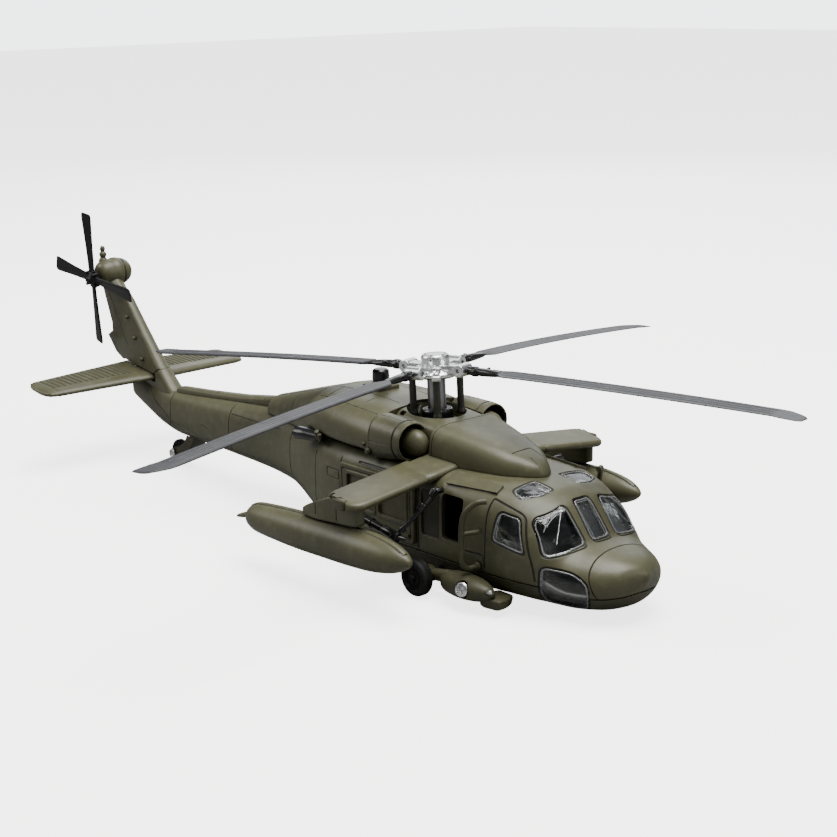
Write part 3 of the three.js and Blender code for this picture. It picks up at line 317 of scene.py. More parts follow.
def turned(profile, axis="z", at=(0, 0, 0), segs=48, sx=1.0):
    """Turned shape from [radius, station] pairs that start and end on the axis, or close on themselves."""
    prof = [tuple(map(float, p)) for p in profile]
    ring = prof[0][0] > 1e-6 and prof[0] == prof[-1]
    if ring:
        prof = prof[:-1]
    a = np.arange(segs) / segs * 2 * math.pi
    V, F, idx = [], [], []
    for r, s in prof:
        if r < 1e-6:
            idx.append([len(V)] * segs)
            V.append((0, 0, s))
        else:
            idx.append(list(range(len(V), len(V) + segs)))
            V += [(r * c, r * q, s) for c, q in zip(np.cos(a), np.sin(a))]
    m = len(prof)
    for i in range(m if ring else m - 1):
        A, B = idx[i], idx[(i + 1) % m]
        for j in range(segs):
            k = (j + 1) % segs
            f = [A[j], A[k], B[k], B[j]]
            f = [q for n_, q in enumerate(f) if q != f[n_ - 1]]
            if len(f) > 2:
                F.append(f)
    V = np.array(V, float)
    if axis == "x":
        V = V[:, [2, 0, 1]]
    elif axis == "y":
        V = V[:, [1, 2, 0]]
    me = mesh(V + np.asarray(at, float), F)
    if volume(me) < 0:
        me.flip_normals()
    return me


def soften(profile, r, n=4):
    """Rounds the corners of a turned profile, leaving points on the axis alone."""
    return [tuple(p) for p in rounded(profile, r, n, closed=False)]


class Surface:
    """Smooth body surface through a section table."""

    def __init__(self, table):
        t = np.array(sorted(table), float)
        self.x, self.c = t[:, 0], t[:, 1:]
        h = np.diff(self.x)[:, None]
        d = np.diff(self.c, axis=0) / h
        m = np.zeros_like(self.c)
        if len(t) > 2:
            w1, w2 = 2 * h[1:] + h[:-1], h[1:] + 2 * h[:-1]
            ok = d[:-1] * d[1:] > 0
            with np.errstate(divide="ignore", invalid="ignore"):
                m[1:-1] = np.where(ok, (w1 + w2) / (w1 / d[:-1] + w2 / d[1:]), 0)
        m[0], m[-1] = d[0], d[-1]
        self.m = m

    def row(self, x):
        x = np.clip(np.atleast_1d(np.asarray(x, float)), self.x[0], self.x[-1])
        i = np.clip(np.searchsorted(self.x, x) - 1, 0, len(self.x) - 2)
        h = (self.x[i + 1] - self.x[i])[:, None]
        t = ((x - self.x[i])[:, None]) / h
        a, b, ma, mb = self.c[i], self.c[i + 1], self.m[i] * h, self.m[i + 1] * h
        return (2 * t**3 - 3 * t**2 + 1) * a + (t**3 - 2 * t**2 + t) * ma + (3 * t**2 - 2 * t**3) * b + (t**3 - t**2) * mb

    def radial(self, P, off=0.0):
        """1 on the surface, less inside."""
        P = np.asarray(P, float).reshape(-1, 3)
        zb, zt, hw, zw, nu, nl = self.row(P[:, 0]).T
        up = P[:, 2] >= zw
        n = np.where(up, nu, nl)
        h = np.maximum(np.where(up, zt - zw, zw - zb) - off, 0.03)
        w = np.maximum(hw - off, 0.05)
        return ((np.abs(P[:, 1]) / w) ** n + (np.abs(P[:, 2] - zw) / h) ** n) ** (1 / n), np.minimum(w, h)

    def project(self, P, off=0.0):
        """Points moved onto the surface along a line from the section's middle."""
        P = np.asarray(P, float).reshape(-1, 3).copy()
        r, _ = self.radial(P, off)
        zw = self.row(P[:, 0])[:, 3]
        P[:, 1] /= r
        P[:, 2] = zw + (P[:, 2] - zw) / r
        return P

    def normal(self, P, off=0.0):
        P = np.asarray(P, float).reshape(-1, 3)
        e = 0.01
        g = np.stack([self.radial(P + d, off)[0] - self.radial(P - d, off)[0] for d in np.eye(3) * e], 1)
        return g / (np.linalg.norm(g, axis=1)[:, None] + 1e-12)

    def ring(self, x, n, off=0.0):
        zb, zt, hw, zw, nu, nl = self.row([x])[0]
        w = max(hw - off, 0.05)
        out, t = [], np.linspace(0, math.pi / 2, 90)
        for q in range(4):
            up = q < 2
            k, h = (nu, max(zt - zw - off, 0.03)) if up else (nl, max(zw - zb - off, 0.03))
            c, s = np.cos(t) ** (2 / k), np.sin(t) ** (2 / k)
            y, z = w * c, h * s
            if q in (1, 3):
                y, z = y[::-1], z[::-1]
            y = y if q in (0, 3) else -y
            z = zw + z if up else zw - z
            L = np.concatenate([[0], np.cumsum(np.hypot(np.diff(y), np.diff(z)))])
            u = np.linspace(0, L[-1], n // 4 + 1)[:-1]
            out.append(np.stack([np.full(len(u), x), np.interp(u, L, y), np.interp(u, L, z)], 1))
        return np.concatenate(out)

    def solid(self, x0, x1, off=0.0, n=144, step=0.9):
        x0, x1 = max(x0, x1), min(x0, x1)
        xs = list(np.linspace(x0, x1, max(2, int((x0 - x1) / step) + 1)))
        if x0 > 60:
            xs = sorted(set([x for x in xs if x < 60] + list(x0 - (x0 - 60) * np.linspace(0, 1, 26) ** 1.8)), reverse=True)
        return skin([self.ring(x, n, off) for x in xs])

    def groove(self, points, r=0.2, sink=0.03, closed=False, segs=6, corner=0.9, step=0.5, off=0.0):
        """Cutter along a path on the surface: a shallow round-bottomed line."""
        P = rounded(points, corner, 4, closed) if len(points) > 2 else [np.asarray(p, float) for p in points]
        if closed:
            P = P + [P[0]]
        Q = [P[0]]
        for a, b in zip(P[:-1], P[1:]):
            k = max(1, int(np.linalg.norm(b - a) / step))
            Q += [a + (b - a) * (i + 1) / k for i in range(k)]
        if closed:
            Q = Q[:-1]
        Q = self.project(np.array(Q), off)
        keep = [0]
        for i in range(1, len(Q)):
            if np.linalg.norm(Q[i] - Q[keep[-1]]) > 0.05:
                keep.append(i)
        Q = Q[keep]
        N = self.normal(Q, off)
        return sweep(Q + N * (r * 0.15 - sink), r, segs, up=N, loop=closed, twist=30)


hull = Surface(HULL)
fairing = Surface(FAIRING)
deck_s = Surface(DECK)
bay_s = Surface(BAY)
spine_s = Surface(SPINE)

# ---- materials -----------------------------------------------------------------------------------


def srgb(h):
    c = [int(h[i : i + 2], 16) / 255 for i in (0, 2, 4)]
    return tuple(x / 12.92 if x <= 0.04045 else ((x + 0.055) / 1.055) ** 2.4 for x in c) + (1.0,)


class Nodes:
    """Small helper for building a node tree."""

    def __init__(self, name):
        self.mat = bpy.data.materials.new(name)
        self.mat.use_nodes = True
        self.t = self.mat.node_tree
        self.t.nodes.clear()
        self.out = self.t.nodes.new("ShaderNodeOutputMaterial")

    def add(self, kind, inputs=None, **props):
        n = self.t.nodes.new("ShaderNode" + kind)
        for k, v in props.items():
            setattr(n, k, v)
        for k, v in (inputs or {}).items():
            if hasattr(v, "links"):
                self.t.links.new(v, n.inputs[k])
            else:
                n.inputs[k].default_value = v
        return n

    def mix(self, f, a, b, blend="MIX"):
        n = self.t.nodes.new("ShaderNodeMix")
        n.data_type, n.blend_type = "RGBA", blend
        for s, v in zip((n.inputs[0], n.inputs[6], n.inputs[7]), (f, a, b)):
            if hasattr(v, "links"):
                self.t.links.new(v, s)
            else:
                s.default_value = v
        return n.outputs[2]

    def math(self, op, a, b=0.0, clamp=False):
        n = self.t.nodes.new("ShaderNodeMath")
        n.operation, n.use_clamp = op, clamp
        for s, v in zip(n.inputs, (a, b)):
            if hasattr(v, "links"):
                self.t.links.new(v, s)
            else:
                s.default_value = v
        return n.outputs[0]

    def ramp(self, f, a, b):
        return self.add("MapRange", {0: f, 1: a, 2: b, 3: 0.0, 4: 1.0}).outputs[0]

    def noise(self, scale, detail=3.0, rough=0.55, vector=None):
        v = vector if vector is not None else self.add("TexCoord").outputs["Object"]
        return self.add("TexNoise", {"Vector": v, "Scale": scale, "Detail": detail, "Roughness": rough}).outputs[0]


def paint(name, base, dark, light, rough=0.4, metal=0.0, coat=0.12, bevel=0.00022, grain=0.05, wash=0.8, edge=0.55, shine=0.35, crease_shade_gain=0.75):
    """Painted or moulded surface: broad mottling, fine grain, dark panel lines where the wash attribute is set, painted
    shade from occlusion in creases and corners, and lighter edges that are partly rubbed wear and partly painted
    highlight.
    """
    N = Nodes(name)
    big, mid, fine = N.noise(90.0, 4.0), N.noise(420.0, 3.0), N.noise(5200.0, 2.0)
    col = N.mix(N.ramp(big, 0.3, 0.75), srgb(base), srgb(dark))
    col = N.mix(N.math("MULTIPLY", N.ramp(mid, 0.5, 0.75), 0.18), col, srgb(light))
    # Lighter edges: the bevel normal finds the edges, which take the light colour in noisy patches; this is partly
    # rubbed wear and partly a painted highlight.
    bev = N.add("Bevel", {"Radius": bevel}, samples=4).outputs[0]
    geo = N.add("NewGeometry").outputs["Normal"]
    dot = N.add("VectorMath", {0: bev, 1: geo}, operation="DOT_PRODUCT").outputs["Value"]
    rim = N.ramp(N.math("SUBTRACT", 1.0, dot), 0.02, 0.22)
    col = N.mix(N.math("MULTIPLY", N.math("MULTIPLY", rim, N.ramp(mid, 0.25, 0.6)), edge), col, srgb(light))
    # Painted shade: ambient occlusion darkens the colour in creases and corners, and the same mix also darkens the dark
    # panel lines marked by the wash attribute.
    shade = N.add("AmbientOcclusion", {"Distance": 0.0008}, samples=4).outputs["AO"]
    painted_crease_shade = N.math("MULTIPLY", N.math("SUBTRACT", 1.0, N.ramp(shade, 0.25, 0.85)), crease_shade_gain)
    w = N.add("Attribute", attribute_name="wash").outputs["Fac"]
    col = N.mix(N.math("MAXIMUM", painted_crease_shade, N.math("MULTIPLY", w, wash)), col, srgb("0d0d09"))
    r = N.math("ADD", rough - 0.06, N.math("MULTIPLY", big, 0.14))
    bump = N.add("Bump", {"Strength": 0.35, "Distance": 0.00002 * grain / 0.05, "Height": fine, "Normal": bev}).outputs[0]
    b = N.add("BsdfPrincipled", {"Base Color": col, "Roughness": r, "Metallic": metal, "Coat Weight": coat, "Coat Roughness": 0.25, "Specular IOR Level": shine, "Normal": bump})
    N.t.links.new(b.outputs[0], N.out.inputs[0])
    return N.mat


def metal(name, base, dark, rough=0.16, brushed=0.0):
    """Bright plated metal with faint smudges and small tool marks."""
    N = Nodes(name)
    big, fine = N.noise(260.0, 4.0), N.noise(3800.0, 3.0)
    col = N.mix(N.math("MULTIPLY", N.ramp(big, 0.4, 0.75), 0.6), srgb(base), srgb(dark))
    bev = N.add("Bevel", {"Radius": 0.0002}, samples=4).outputs[0]
    r = N.math("ADD", rough, N.math("MULTIPLY", big, 0.16))
    bump = N.add("Bump", {"Strength": 0.3 + brushed, "Distance": 0.00002, "Height": fine, "Normal": bev}).outputs[0]
    b = N.add("BsdfPrincipled", {"Base Color": col, "Roughness": r, "Metallic": 1.0, "Normal": bump})
    N.t.links.new(b.outputs[0], N.out.inputs[0])
    return N.mat


def clear(name, haze_gain=1.0, shine=0.7, painted_highlight=0.0):
    """Clear moulded plastic: tinted only at its edges, with a bright glossy sheen, haze and fine scratches; the last
    argument mixes in flat pale diffuse as a painted highlight.
    """
    N = Nodes(name)
    v = N.add("TexCoord").outputs["Object"]
    long = N.add("Mapping", {"Vector": v, "Scale": (1.0, 0.12, 0.5), "Rotation": (0.5, 0.3, 0.7)}).outputs[0]
    scr = N.noise(2600.0, 4.0, 0.6, long)
    haze = N.noise(160.0, 3.0)
    wav = N.add("Bump", {"Strength": 0.12, "Distance": 0.0001, "Height": N.noise(220.0, 2.0)}).outputs[0]
    fres = N.add("Fresnel", {"IOR": 1.5, "Normal": wav}).outputs[0]
    tr = N.add("BsdfTransparent", {"Color": (0.82, 0.84, 0.84, 1)})
    gl = N.add("BsdfGlossy", {"Color": (1, 1, 1, 1), "Roughness": N.math("ADD", 0.03, N.math("MULTIPLY", haze, 0.08)), "Normal": wav})
    df = N.add("BsdfDiffuse", {"Color": (0.86, 0.87, 0.88, 1)})
    k = N.math("ADD", N.math("MULTIPLY", N.ramp(scr, 0.64, 0.78), 0.16 * haze_gain), N.math("MULTIPLY", N.ramp(haze, 0.45, 0.8), 0.06 * haze_gain))
    a = N.add("MixShader", {0: N.math("ADD", k, painted_highlight), 1: tr.outputs[0], 2: df.outputs[0]})
    m = N.add("MixShader", {0: N.math("MULTIPLY", fres, shine, True), 1: a.outputs[0], 2: gl.outputs[0]})
    N.t.links.new(m.outputs[0], N.out.inputs[0])
    return N.mat


MAT = {
    "paint": paint("olive_paint_satin", "51503a", "464531", "7b7a60", 0.42, 0.0, 0.06, shine=0.40),
    "plastic": paint("olive_plastic_moulded", "42412d", "383726", "66644c", 0.46, 0.0, 0.05, grain=0.08, shine=0.36),
    "black": paint("black_plastic_gloss", "141416", "0e0e0f", "333337", 0.24, 0.0, 0.2, edge=0.3, shine=0.4),
    "dark": paint("interior_plastic_matt", "161616", "0e0e0e", "232323", 0.6, 0.0, 0.0, edge=0.2, shine=0.2),
    "grey": paint("blade_plastic_grey", "3a3b3f", "323337", "62636a", 0.46, 0.0, 0.04, edge=0.45, shine=0.28),
    "rubber": paint("wheel_rubber_black", "171717", "101010", "2b2b2b", 0.62, 0.0, 0.0, grain=0.12, edge=0.3, shine=0.25),
    "satin": paint("tail_plastic_black", "1c1c1f", "141416", "3c3c42", 0.44, 0.0, 0.0, edge=0.4, shine=0.22),
    "silver": metal("plated_metal_bright", "e9eaeb", "bfc0c4", 0.2),
    "steel": metal("mast_metal_grey", "a9aaae", "77787c", 0.26),
    "clear": clear("window_plastic_clear"),
    # The window beads get extra flat pale diffuse as a painted highlight of their bright rims.
    "edge": clear("window_bead_painted_highlight", 1.6, 1.2, 0.16),
    "plastic_dark": paint("link_plastic_dark", "2b2b23", "22221c", "4c4c3a", 0.34, 0.0, 0.12, edge=0.4, shine=0.4),
}


def piece(name, me, mat, body="airframe", stands_for=(), surfs=(), wash=None, angle=38, tip=None):
    """Places a finished mesh (mm, heights from the ground) as a named piece on a body.
    surfs lists (surface, offset, sign): points on one of them get its exact normal; faces cut just below it count as lines."""
    if me.users:
        me = me.copy()
    me.name = name
    P = arrays(me)
    nf, nl = len(me.polygons), len(me.loops)
    me.shade_smooth()
    me.set_sharp_from_angle(angle=math.radians(angle))
    lines = np.zeros(nf, np.float32)
    if surfs:
        vi = np.empty(nl, np.int32)
        me.loops.foreach_get("vertex_index", vi)
        fn = np.empty(nf * 3, np.float32)
        me.polygons.foreach_get("normal", fn)
        fn = fn.reshape(-1, 3)
        tot = np.empty(nf, np.int32)
        me.polygons.foreach_get("loop_total", tot)
        start = np.empty(nf, np.int32)
        me.polygons.foreach_get("loop_start", start)
        owner = np.empty(nl, np.int32)
        for f in range(nf):
            owner[start[f] : start[f] + tot[f]] = f
        cen = np.empty(nf * 3, np.float32)
        me.polygons.foreach_get("center", cen)
        cen = cen.reshape(-1, 3)
        custom = np.zeros((nl, 3))
        for s, off, sign in surfs:
            r, size = s.radial(P, off)
            near = np.abs(r - 1) * size < 0.07
            nn = s.normal(P, off) * sign
            use = near[vi] & (np.einsum("ij,ij->i", nn[vi], fn[owner]) > 0.86) & (P[vi][:, 0] < s.x[-1] - 0.3)
            custom[use] = nn[vi][use]
        s, off, sign = surfs[0]
        r, size = s.radial(cen, off)
        d = (1 - r) * size
        flat = np.einsum("ij,ij->i", s.normal(cen, off) * sign, fn)
        lines[(d > 0.015) & (d < 0.45) & (flat < 0.97)] = 1.0
        lines[(d > 0.06) & (d < 0.45)] = 1.0
        if tip is not None:
            lines[cen[:, 0] > tip] = 0.0
        me.normals_split_custom_set(custom.tolist())
    if wash is not None:
        cen = np.empty(nf * 3, np.float32)
        me.polygons.foreach_get("center", cen)
        lines = np.maximum(lines, wash(cen.reshape(-1, 3)).astype(np.float32))
    at = me.attributes.new("wash", "FLOAT", "FACE")
    at.data.foreach_set("value", lines)
    me.transform(Matrix.Diagonal((0.001, 0.001, 0.001, 1)) @ Matrix.Translation((0, 0, -FLAT_Z)))
    me.materials.clear()
    me.materials.append(MAT[mat])
    me.polygons.foreach_set("material_index", np.zeros(nf, np.int32))
    o = bpy.data.objects.new(name, me)
    bpy.context.scene.collection.objects.link(o)
    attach(o, body)
    if stands_for:
        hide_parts(*([stands_for] if isinstance(stands_for, str) else stands_for))
    return o


def pair(name, me, mat, bodies=("airframe", "airframe"), node=None, **kw):
    for s, tag, body in ((1, "left", bodies[0]), (-1, "right", bodies[1])):
        piece(f"{name}_{tag}_fine", side(me, s), mat, body, (f"{node or name}_{tag}",), **kw)


# ---- body covers ---------------------------------------------------------------------------------
SEAM = 0.15


def belly_zone(d):
    s = [(-40, SEAM_Z), (48, SEAM_Z), (50, 6.9), (52, 6.55), (54, 6.25), (56.5, 6.1), (60, 6.3), (62, 6.6), (63.5, 7.1), (68, 8.3)]
    s[0] = (-36 - d, SEAM_Z)
    return extrude([(-36 - d, -3), (68, -3)] + [(x, z + d) for x, z in s[::-1]], "y", -22, 22)


def cap_zone(d):
    return extrude([(CAP_X + d - CAP_RAKE * 6, 20.7), (CAP_X + d + CAP_RAKE * 12, 2.7), (70, -1), (70, 21)], "y", -22, 22)


WINDOWS = {
    "door_window": ([(34.9, 15.0), (43.7, 13.5), (41.2, 20.6), (36.3, 21.5)], "y", (10, 20), 1.1),
    "chin_window": ([(47.4, 11.2), (48.6, 11.95), (54.2, 11.15), (56.9, 9.4), (57.3, 7.2), (56.3, 3.9), (53.4, 2.2), (47.2, 2.4), (46.6, 4.0)], "y", (5.5, 20), 1.5),
    "windshield": ([(4.5, 15.3), (14.1, 13.7), (13.0, 19.6), (11.8, 20.9), (4.9, 22.7)], "x", (40.8, 60), 1.2),
    "roof_window": ([(35.0, 3.6), (35.5, 10.8), (38.7, 11.3), (41.0, 7.2), (40.8, 3.7)], "z", (21.2, 30), 1.0),
    "windshield_center": ([(-2.7, 15.5), (2.7, 15.5), (2.4, 23.0), (-2.4, 23.0)], "x", (40, 60), 1.0),
}


def window(key, s, d=0.0):
    """Prism through the skin at a window, made smaller by d."""
    pts, axis, (a, b), r = WINDOWS[key]
    pts = inset(pts, d)
    if s < 0 and axis != "y":
        pts = [(-p[0], p[1]) for p in pts] if axis == "x" else [(p[0], -p[1]) for p in pts]
    path = rounded(pts, r, 6)
    return extrude(path, axis, *((-b, -a) if (s < 0 and axis == "y") else (a, b)))


def window_path(key, s, d, off=0.0):
    """The window's outline, moved inwards by d, as points on the body surface."""
    pts, axis, (a, b), r = WINDOWS[key]
    path = rounded(inset(pts, d), max(r - d * 0.6, 0.25), 6)
    dense = []
    for p, q in zip(path, path[1:] + path[:1]):
        k = max(1, int(np.linalg.norm(q - p) / 0.5))
        dense += [p + (q - p) * i / k for i in range(k)]
    out = []
    for u, v in dense:
        if axis == "y":
            lo, hi = 0.0, 20.0
            for _ in range(40):
                m = (lo + hi) / 2
                lo, hi = (m, hi) if hull.radial([(u, m, v)], off)[0][0] < 1 else (lo, m)
            out.append((u, s * lo, v))
        elif axis == "z":
            lo, hi = 15.0, 30.0
            for _ in range(40):
                m = (lo + hi) / 2
                lo, hi = (m, hi) if hull.radial([(u, v, m)], off)[0][0] < 1 else (lo, m)
            out.append((u, s * v, lo))
        else:
            lo, hi = 36.0, 60.0
            for _ in range(40):
                m = (lo + hi) / 2
                lo, hi = (m, hi) if hull.radial([(m, u, v)], off)[0][0] < 1 else (lo, m)
            out.append((lo, s * u, v))
    keep = [out[0]]
    for p in out[1:]:
        if np.linalg.norm(np.subtract(p, keep[-1])) > 0.12:
            keep.append(p)
    if np.linalg.norm(np.subtract(keep[0], keep[-1])) < 0.12:
        keep.pop()
    return np.array(keep)


def on_hull(points, s=1):
    return [(x, s * y, z) for x, y, z in points]


outer = hull.solid(64.2, BOOM_X + 0.15, 0, 176, 0.8)
inner = hull.solid(61.2, BOOM_X + 2.4, WALL, 96, 1.6)
GUNNER = [(19.6, 12.0), (26.0, 12.0), (26.2, 22.1), (19.6, 22.2)]
GUNNER_PANEL = [(12.8, 11.4), (18.8, 11.4), (18.8, 21.8), (12.8, 21.8)]
holes = [window("windshield_center", 1)]
for s in (1, -1):
    holes += [window(k, s) for k in ("door_window", "chin_window", "windshield", "roof_window")]
    ys = (12, 20) if s > 0 else (-20, -12)
    holes.append(extrude(rounded(GUNNER, 0.9), "y", *ys))
    holes.append(extrude(rounded(GUNNER_PANEL, 0.9), "y", *((16.2, 20) if s > 0 else (-20, -16.2))))
    holes.append(extrude(rounded([(-12.6, 9.8), (9.6, 9.8), (9.6, 20.9), (-12.6, 20.9)], 0.8), "y", *ys))

lines = []
for s in (1, -1):
    L = lambda pts, **k: lines.append(hull.groove(on_hull(pts, s), **k))
    # cockpit door outline with its sloping front edge
    L([(33.8, 14.1, 23.4), (41.9, 12.8, 21.0), (45.8, 14.9, 11.3), (46.2, 15.1, 8.2)], corner=1.6, r=0.3)
    L([(33.8, 14.1, 23.4), (33.4, 16.2, 20.0), (33.0, 16.4, 14.0), (32.7, 16.4, 8.0)], r=0.22)
    # step panel low on the side
    L([(25.9, 16.5, 10.8), (32.4, 16.5, 11.2), (32.5, 16.4, 8.4)], r=0.22)
    # aft side: hatch, rail line above the cabin door, frame lines
    L([(-21.4, 15.7, 19.8), (-16.3, 16.3, 19.8), (-16.3, 16.4, 17.7), (-21.4, 15.8, 17.7)], closed=True, corner=0.5, r=0.17)
    L([(-9.5, 16.0, 23.4), (2.8, 16.0, 23.4)], r=0.36)
    L([(-15.8, 16.2, 23.8), (-15.8, 16.4, 8.0)], r=0.15)
    L([(-27.5, 14.2, 22.6), (-27.8, 14.2, 8.6)], r=0.15)
    L([(11.8, 16.2, 22.8), (11.8, 16.5, 8.0)], r=0.18)
recess = []
for s in (1, -1):  # every window sits in a shallow stepped rim
    for k in ("door_window", "chin_window", "windshield", "roof_window"):
        p = window_path(k, s, -0.12)
        recess.append(sweep(p, 0.2, 8, up=hull.normal(p), loop=True))
p = window_path("windshield_center", 1, -0.12)
recess.append(sweep(p, 0.2, 8, up=hull.normal(p), loop=True))

skin_all = boolean(outer, [inner] + holes + recess + lines)
upper = boolean(skin_all, [belly_zone(SEAM), cap_zone(-SEAM)])
SURF = [(hull, 0, 1), (hull, WALL, -1)]
roof = []
for s in (1, -1):  # raised roof strips above the cockpit doors
    pts = [(19.4, 11.3, 25.5), (33.2, 11.0, 25.1), (33.7, 13.4, 24.2), (20.0, 15.2, 24.0)]
    q = hull.project([(x, s * y, z) for x, y, z in pts])
    n_ = hull.normal(q)
    c_ = q.mean(axis=0)
    roof.append(skin([q - n_ * 0.5, q + n_ * 0.5, c_ + (q - c_) * 0.985 + n_ * 0.68]))
upper = boolean(upper, roof, "UNION")
piece("upper_body_shell_fine", upper, "paint", stands_for="upper_body_shell", surfs=SURF)
flat_cut = box(-45, 33, -22, 22, -5, FLAT_Z)
axle_slot = rod((WHEEL["x"], -20, WHEEL["z"]), (WHEEL["x"], 20, WHEEL["z"]), AXLE_R + 0.15)
belly = boolean(boolean(skin_all, [belly_zone(-SEAM)], "INTERSECT"), [flat_cut, axle_slot])
piece("belly_shell_fine", belly, "plastic", stands_for="belly_shell", surfs=SURF)
nose = boolean(boolean(skin_all, [cap_zone(SEAM)], "INTERSECT"), [belly_zone(SEAM)])
piece("nose_cap_fine", nose, "paint", stands_for="nose_cap", surfs=SURF, tip=61.6)

# ---- clear panes -----------------------------------------------------------------------------------


def pane(key, s, node, extra=()):
    glass = boolean(boolean(hull.solid(63.2, 24, 0.22, 144, 0.8), [window(key, s, 0.1)], "INTERSECT"), [hull.solid(61.8, 23, 1.0, 96, 1.2)])
    p = window_path(key, s, 0.3, 0.16)
    rim = sweep(p, 0.17, 10, up=hull.normal(p), loop=True)
    bars = []
    for pts, r in extra:
        q = hull.project([(x, s * y, z) for x, y, z in pts], 0.2)
        bars.append(sweep(smooth(q, 4) if len(q) > 2 else q, r, 8, up=hull.normal(smooth(q, 4) if len(q) > 2 else q)))
    piece(node + "_fine", glass, "clear", stands_for=node, surfs=[(hull, 0.22, 1), (hull, 1.0, -1)])
    piece(node + "_bead", boolean(rim, bars, "UNION") if bars else rim, "edge")


for s, tag in ((1, "left"), (-1, "right")):
    pane("door_window", s, "door_window_" + tag)
    pane("chin_window", s, "chin_window_" + tag)
    pane("windshield", s, "windshield_" + tag, [([(46.0, 12.6, 18.8), (45.2, 8.8, 20.4), (45.0, 5.4, 21.2)], 0.13), ([(45.6, 6.2, 21.0), (48.6, 9.4, 15.4)], 0.13)])
    pane("roof_window", s, "roof_window_" + tag, [([(36.2, 4.6, 25.2), (39.8, 4.9, 24.7)], 0.1)])
pane("windshield_center", 1, "windshield_center", [([(45.4, -1.6, 21.9), (45.4, 1.6, 21.9)], 0.12), ([(45.3, -1.7, 21.9), (51.0, -1.9, 16.4)], 0.1), ([(45.3, 1.7, 21.9), (51.0, 1.9, 16.4)], 0.1)])

# ---- boom, fin, stabilator, tail gearbox ----------------------------------------------------------------


def fold_zone(d):
    return extrude([(FOLD_A[0] + d + 10.5, FOLD_A[1] + 12.5), (FOLD_A[0] + d, FOLD_A[1]), (FOLD_B[0] + d, FOLD_B[1]),
                    (FOLD_B[0] + d - 10.5, FOLD_B[1] - 12.5), (-160, -5), (-160, 70)], "y", -12, 12)


def both(points, **k):
    return [hull.groove(on_hull(points, s), **k) for s in (1, -1)]


boom_lines = (both([(-44.5, 9.9, 11.2), (-74.0, 5.2, 10.9)], r=0.15) + both([(-50.0, 8.6, 22.4), (-74.0, 5.6, 21.2)], r=0.12))
boom = boolean(hull.solid(BOOM_X - SEAM, TAIL_X + SEAM, 0, 128, 1.1), [hull.solid(BOOM_X + 2, TAIL_X + 1.4, WALL, 48, 3)] + boom_lines)
piece("boom_front_section_fine", boom, "paint", stands_for="boom_front_section", surfs=[(hull, 0, 1)])

STAB = [(-32.4, -129.4, -124.6, 0.25), (-32.1, -131.2, -122.6, 0.5), (-31.3, -132.6, -121.2, 0.7), (-30.0, -133.1, -120.6, 0.8),
        (-18, -133.3, -119.0, 0.9), (0, -133.4, -116.2, 1.0)]
STAB = STAB + [(-y, b, f, t) for y, b, f, t in STAB[::-1][1:]]


def stab_at(y, k):
    return np.interp(y, [r[0] for r in STAB], [r[k] for r in STAB])


def stabilator():
    u = np.concatenate([(1 - np.cos(np.linspace(0, math.pi, 34))) / 2])
    rings = []
    for y in np.concatenate([np.linspace(-32.4, -30, 12)[:-1], np.arange(-30, 30.01, 0.16), np.linspace(30, 32.4, 12)[1:]]):
        xb, xf, t = stab_at(y, 1), stab_at(y, 2), stab_at(y, 3)
        c = xf - xb
        shape = np.where(u < 0.12, np.sqrt(np.clip(1 - ((0.12 - u) / 0.12) ** 2, 0, 1)), 1 - 0.62 * ((np.maximum(u, 0.12) - 0.12) / 0.88) ** 1.4)
        rib = 0.5 + 0.5 * math.cos(abs(y) / 1.62 * 2 * math.pi)
        rib = rib ** 0.5 if 5.2 < abs(y) < 29.2 else 1.0
        band = np.clip((u - 0.30) / 0.02, 0, 1) * np.clip((0.985 - u) / 0.015, 0, 1)
        z = shape * t - 0.42 * (1 - rib) * band * min(1.0, t / 0.6)
        step = 0.10 * np.clip((0.30 - u) / 0.02, 0, 1) * (5.2 < abs(y) < 29.2)
        z = np.maximum(z + step * (u > 0.04), 0.05 * (u > 0) * (u < 1))
        x = xf - c * u
        mid = STAB_Z + 0.2 + STAB_SLOPE * (xf - x) - STAB_DROOP * abs(y)
        top = np.stack([x, np.full_like(x, y), mid + z], 1)
        bot = np.stack([x, np.full_like(x, y), mid - z * 0.92], 1)[::-1][1:-1]
        rings.append(np.concatenate([top, bot]))
    return skin(rings)




def stab_wash(c):
    ay = np.abs(c[:, 1])
    xb, xf = stab_at(c[:, 1], 1), stab_at(c[:, 1], 2)
    u = (xf - c[:, 0]) / (xf - xb)
    rib = 0.5 + 0.5 * np.cos(ay / 1.62 * 2 * math.pi)
    return np.where((rib < 0.3) & (ay > 5.2) & (ay < 29.2) & (u > 0.31), 0.62, 0.0)


piece("stabilator_fine", stabilator(), "paint", stands_for="stabilator", wash=stab_wash, angle=60)
stab_slot = extrude([(-115.5, STAB_Z - 1.0), (-134.6, STAB_Z + 0.85), (-134.6, STAB_Z + 3.15), (-115.5, STAB_Z + 1.35)], "y", -11, 11)
tail_lines = (both([(-106.5, 3.4, 13.0), (-96.7, 3.8, 11.7), (-84.2, 4.4, 11.1), (-75.6, 5.0, 10.9)], r=0.2)
              + both([(-89.6, 4.9, 15.2), (-85.9, 5.2, 14.8)], r=0.16))
tail = boolean(hull.solid(TAIL_X - SEAM, -127.8, 0, 128, 1.1), [fold_zone(SEAM), stab_slot, hull.solid(TAIL_X + 2, -98, WALL, 48, 3)] + tail_lines)
piece("tail_boom_fine", tail, "paint", stands_for="tail_boom", surfs=[(hull, 0, 1)])


def fin_width(u):
    return np.where(u < 0.07, np.sqrt(np.clip(1 - ((0.07 - u) / 0.07) ** 2, 0, 1)), 1 - 0.84 * ((np.maximum(u, 0.07) - 0.07) / 0.93) ** 1.7)


def fin_half(x, z):
    xf, xb, t = [np.interp(z, [r[2] for r in FIN], [r[k] for r in FIN]) for k in (0, 1, 3)]
    return t * float(fin_width(np.array([min(1.0, max(0.02, (xf - x) / (xf - xb)))]))[0])


